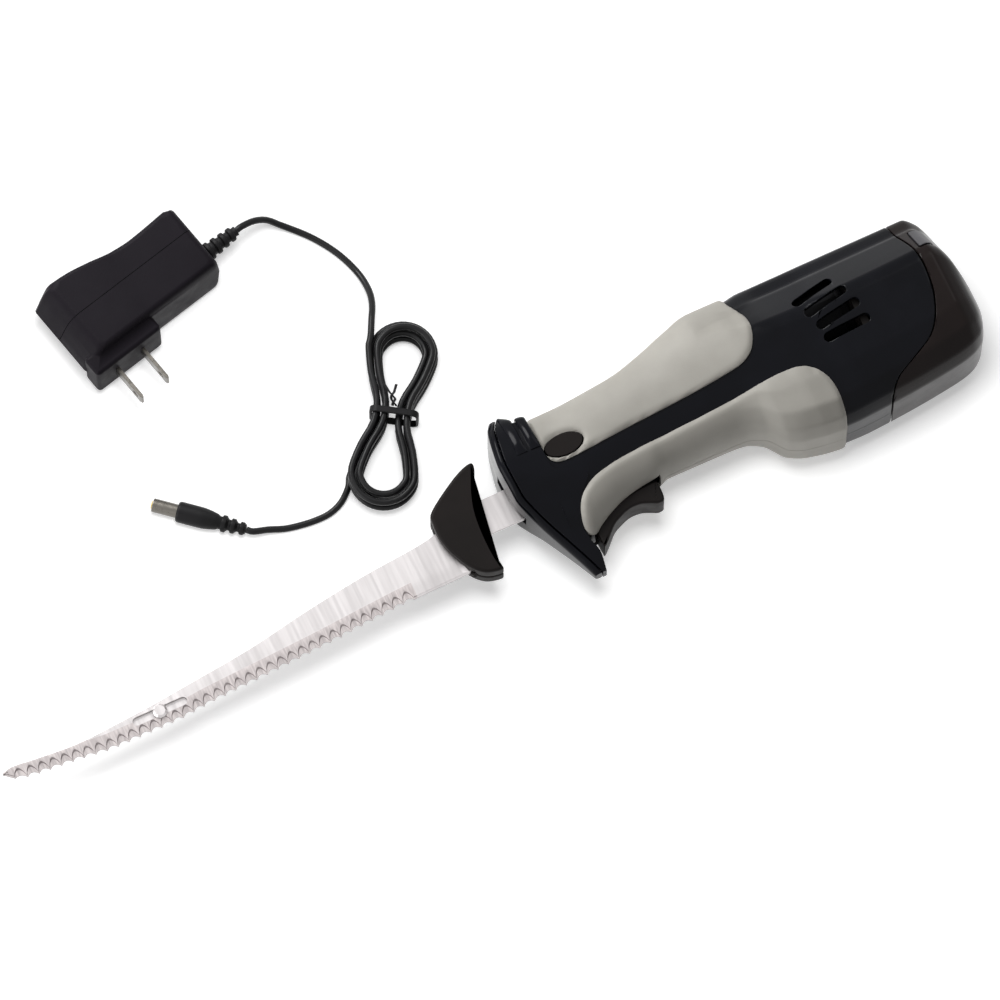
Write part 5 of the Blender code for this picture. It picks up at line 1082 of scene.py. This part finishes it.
def smooth_route(points, start_way, end_way, step):
    """Points on a smooth curve through a route, with straight ends one diameter long."""
    route = [Vector(point) for point in points]
    route.insert(1, route[0] + Vector(start_way).normalized() * CORD)
    route.insert(-1, route[-1] - Vector(end_way).normalized() * CORD)
    fine = smooth_line(route, 12)
    lengths = [0.0]
    for a, b in zip(fine, fine[1:]):
        lengths.append(lengths[-1] + (b - a).length)
    places = [route[0], route[1]]
    for target in steps(CORD, lengths[-1] - CORD, step)[1:-1]:
        i = min(bisect.bisect_right(lengths, target), len(lengths) - 1)
        share = (target - lengths[i - 1]) / (lengths[i] - lengths[i - 1])
        places.append(fine[i - 1].lerp(fine[i], share))
    return places + [route[-2], route[-1]]


def hank_place(phase, radius, height):
    """Point on the hank's round at a phase of TURN_POINTS, drawn in at the waist."""
    phase %= TURN_POINTS
    half_turn = FOLD_POINTS + RUN_POINTS
    sign = 1 if phase < half_turn else -1
    part = phase % half_turn
    if part < FOLD_POINTS:
        angle = math.pi * (part / FOLD_POINTS - 0.5)
        along = HANK_FOLD_AT + radius * math.cos(angle)
        across = radius * math.sin(angle)
    else:
        along = HANK_FOLD_AT * (1 - 2 * (part - FOLD_POINTS) / RUN_POINTS)
        across = radius
    if abs(along) < HANK_FOLD_AT:
        across -= HANK_WAIST * 0.5 * (1 + math.cos(math.pi * along / HANK_FOLD_AT))
    turn = math.radians(HANK_TURN)
    along, across = sign * along, sign * across
    return Vector((HANK_CENTRE[0] + along * math.cos(turn) - across * math.sin(turn),
                   HANK_CENTRE[1] + along * math.sin(turn) + across * math.cos(turn), FLOOR + height))


def hank_places():
    """The whole hank as one line, spiralling in and out again as it goes down layer by layer."""
    start = FOLD_POINTS
    layer_run = 1.5 * TURN_POINTS
    turns_back = [start + layer_run + 2.5 + layer_run * i for i in range(HANK_LAYERS - 1)]
    last = turns_back[-1] + layer_run + 2.5
    places = []
    for phase in range(start, int(last) + 1):
        inward = 0.0
        layer = float(HANK_LAYERS - 1)
        position = start
        way = 1
        for turn_back in turns_back:
            if phase > turn_back:
                inward += way * (turn_back - position)
                position, way = turn_back, -way
            climb = min(max((phase - turn_back) / (TURN_POINTS / 2) + 0.5, 0), 1)
            layer -= climb * climb * (3 - 2 * climb)
        inward += way * (phase - position)
        height = TIE_THICK + GAP + CORD / 2 + layer * HANK_LAYER
        places.append(hank_place(phase, HANK_OUTER - HANK_STEP * inward / TURN_POINTS, height))
    return places


cord_exit = by_charger(CASE_HALF_LENGTH + RELIEF_LENGTH + GAP, RELIEF_Y, CASE_HEIGHT / 2)
hank = hank_places()
hank_way = heading(HANK_TURN)
hank = [hank[0] + hank_way * CORD, *hank, hank[-1] - hank_way * CORD]
plug_way = heading(PLUG_TURN)
plug_start = Vector((*PLUG_AT, FLOOR + PLUG_RADIUS))
middle = [(x, y, FLOOR + height) for x, y, height in LEAD_ROUTE]
lead = smooth_route([cord_exit, *middle, hank[0] + hank_way * GAP], charger_way, -hank_way, 2.5 * CORD)
middle = [(x, y, FLOOR + height) for x, y, height in TAIL_ROUTE]
tail = smooth_route([hank[-1] - hank_way * GAP, *middle, plug_start - plug_way * GAP], -hank_way, plug_way,
                    2.5 * CORD)
route = smooth_line([*lead[:-1], *hank, *tail[1:]], 3)
route = [place for place, ahead in zip(route, route[1:]) if (ahead - place).length > 0.2] + [route[-1]]
for place in route:
    place.z = max(place.z, FLOOR + CORD / 2)
line = bpy.data.curves.new("charger_cord", "CURVE")
line.dimensions = "3D"
line.bevel_depth = CORD / 2 * MM
line.bevel_resolution = 4
line.use_fill_caps = True
spline = line.splines.new("POLY")
spline.points.add(len(route) - 1)
for point, place in zip(spline.points, in_row(route)):
    point.co = (*place, 1)
spline.use_smooth = True
cord = bpy.data.objects.new("charger_cord", line)
bpy.context.collection.objects.link(cord)
# Drawn PVC is a little smoother and shinier than the moulded sleeve
cord_pvc = moulded("black_pvc_cord", "#0E0E0F", "#141416", 0.36, 0.8, 0.02, gloss=0.2)
dress(cord, cord_pvc, "housing", "cord_rubber", "cord_lead", "cord_hank", "cord_tail")

# Cord plug
# A coaxial DC plug: a moulded PVC grip with a ribbed tail, a nickel-plated barrel pressed into it
# and, inside the barrel, a yellow insulator round the centre contact.
PLUG_RELIEF = 11.0
PLUG_LENGTH = 28.0
BARREL = (2.75, 2.1, 10.0)
profile = [(0, 1.6), (0.2, 2.1)]
for i in range(3):
    begin = 0.6 + i * PLUG_RELIEF / 3
    radius = 2.6 + 0.4 * i
    profile += [(begin + run, radius - drop) for run, drop in
                ((0, 0.5), (0.2, 0.1), (0.5, 0), (1.5, 0), (1.8, 0.1), (2.0, 0.6), (2.15, 0.8), (2.9, 0.8))]
profile += [(PLUG_RELIEF + 1 + 7 * i / 8, PLUG_RADIUS - 1.0 * (1 - math.sin(math.pi * i / 16)))
            for i in range(9)]
profile += [(PLUG_LENGTH - 1.2, PLUG_RADIUS), (PLUG_LENGTH - 0.5, PLUG_RADIUS - 0.15),
            (PLUG_LENGTH - 0.1, PLUG_RADIUS - 0.5), (PLUG_LENGTH, PLUG_RADIUS - 0.9)]
seat = plug_start + plug_way * (PLUG_LENGTH - 3)
plug = turned("cord_plug_grip", plug_start, plug_way, profile)
combine(plug, "DIFFERENCE", turned("seat", seat, plug_way, ((0, BARREL[0] + 0.1), (6, BARREL[0] + 0.1))))
soft_edges(plug, 0)
dress(plug, black_pvc, "housing", "charger_black", "plug_body")
barrel_start = seat + plug_way * GAP
barrel_length = 3 - GAP + BARREL[2]
outside, inside = BARREL[:2]
profile = [(0, outside), (barrel_length - 0.3, outside), (barrel_length - 0.08, outside - 0.1),
           (barrel_length, outside - 0.3), (barrel_length - 0.2, inside), (barrel_length - 9, inside)]
barrel = turned("cord_plug_barrel", barrel_start, plug_way, profile)
soft_edges(barrel, 0)
dress(barrel, nickel, "housing", "prong_nickel", "plug_barrel")
barrel_end = plug_start + plug_way * (PLUG_LENGTH + BARREL[2])
profile = [(0, 1.7), (8.6, 1.7), (9.0, 1.5), (9.1, 1.2), (8.9, 0.9), (2.0, 0.9)]
core = turned("cord_plug_insulator", barrel_end - plug_way * 8.5, plug_way, profile)
soft_edges(core, 0)
# Yellow polyamide, slightly waxy
dress(core, moulded("yellow_polyamide", "#D9C27A", "#CDB264", 0.4, 0.5, 0.01, gloss=0.4), "housing",
      "gear_nylon", "plug_insulator")

# Hank tie
# A black plastic strip with a wire core, wrapped once round the hank's waist. Its two ends are
# twisted together on top and stick up a little.
TIE_BAND = (0.9, 2.6)
TIE_ENDS = (0.75, 1.1, 8.8)
TIE_TURNS = 1.5
# Shares of their length at which the two ends start to spread and stop to twist
TIE_OPENS = 0.55
TIE_TWISTED = 0.6
TIE_SPREAD = 5
TIE_LEAN = 3.0
half = HANK_OUTER - HANK_WAIST + CORD / 2 + GAP
high = TIE_THICK + GAP + CORD + (HANK_LAYERS - 1) * HANK_LAYER + GAP
hank_across = heading(HANK_TURN + 90)
hank_middle = Vector((*HANK_CENTRE, FLOOR))


def tie_line(grow, corner):
    """The strip's path round the waist, with rounded corners, as (across, height) pairs."""
    line_points = []
    for side, up, first in ((1, 1, 0), (-1, 1, 90), (-1, 0, 180), (1, 0, 270)):
        radius = corner + grow
        centre = (side * (half - corner), high - corner if up else TIE_THICK + corner)
        for i in range(7):
            angle = math.radians(first + 15 * i)
            line_points.append((centre[0] + radius * math.cos(angle), centre[1] + radius * math.sin(angle)))
    return line_points


inner, outer = tie_line(0.05, 2.4), tie_line(TIE_BAND[0], 2.4)
thick_rings = []
for (near_x, near_z), (far_x, far_z) in zip(inner, outer):
    ring = []
    for along, share in ((-1, 0), (-1, 0.7), (-0.8, 1), (0.8, 1), (1, 0.7), (1, 0)):
        across, height = near_x + (far_x - near_x) * share, near_z + (far_z - near_z) * share
        ring.append(hank_middle + hank_way * along * TIE_BAND[1] / 2 + hank_across * across
                    + Vector((0, 0, height)))
    thick_rings.append(ring)
tie = swept("twist_tie", [*thick_rings, thick_rings[0]], closed_ends=False)
for side in (0, math.pi):
    rings = []
    for i in range(49):
        share = i / 48
        spread = TIE_ENDS[0] + max(0, share - TIE_OPENS) * TIE_SPREAD
        angle = side + math.tau * TIE_TURNS * min(share, TIE_TWISTED)
        centre = hank_middle + hank_way * (1.5 + TIE_ENDS[2] * share) + Vector((0, 0, high + 1.6))
        centre += hank_across * (spread * math.cos(angle)) + Vector((0, 0, TIE_ENDS[0] * math.sin(angle)))
        centre += hank_across * TIE_LEAN * share
        rings.append([centre + hank_across * (TIE_ENDS[1] / 2 * math.cos(a))
                      + Vector((0, 0, TIE_ENDS[0] / 2 * math.sin(a)))
                      for a in (math.tau * k / 10 for k in range(10))])
    end_piece = swept("tie_end", rings)
    pick(tie)
    end_piece.select_set(True)
    bpy.ops.object.join()
    deselect()
soft_edges(tie, 0)
bpy.ops.object.mode_set(mode="EDIT")
bpy.ops.mesh.select_all(action="SELECT")
bpy.ops.mesh.normals_make_consistent(inside=False)
bpy.ops.object.mode_set(mode="OBJECT")
dress(tie, black_pvc, "housing", "charger_black", "hank_tie")

# Drive, motor and cells
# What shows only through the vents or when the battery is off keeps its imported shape: steel and
# bronze drive parts, an acetal gear, cells in shrink sleeve, and a glass-epoxy board.
blackened_steel = rubbed_metal("blackened_steel", "#101011", "#19191A", 0.55, 0.5)
SLOT_FINISH = {
    "body_gloss": gloss_abs,
    "battery_gloss": battery_abs,
    "matte_black": matt_black,
    "grip_rubber": grip_rubber,
    "blade_steel": satin,
    "plain_steel": rubbed_metal("machined_steel", "#8B8B8D", "#A2A2A4", 0.36, 0.5),
    "bushing_brass": rubbed_metal("sintered_bronze", "#8F6F3C", "#A88550", 0.5, 0.4),
    "gear_nylon": moulded("white_acetal", "#DEDACD", "#E8E4D8", 0.4, 0.5, 0.01, gloss=0.4),
    "cell_sleeve": moulded("blue_shrink_sleeve", "#23527F", "#2C5E90", 0.3, 3.0, 0.03),
    "board": moulded("green_solder_mask", "#1B5230", "#246239", 0.35, 0.6, 0.02),
    "cord_rubber": cord_pvc,
    "charger_black": textured_abs,
    "prong_nickel": nickel,
}
for entry in frame["record"]["subparts"]:
    thing = nodes[entry["node"]]
    thing.data.materials.clear()
    dark = entry["node"] in ("motor_can", "motor_cap", "worm_bearing")
    thing.data.materials.append(blackened_steel if dark else SLOT_FINISH[entry["material_slot"]])
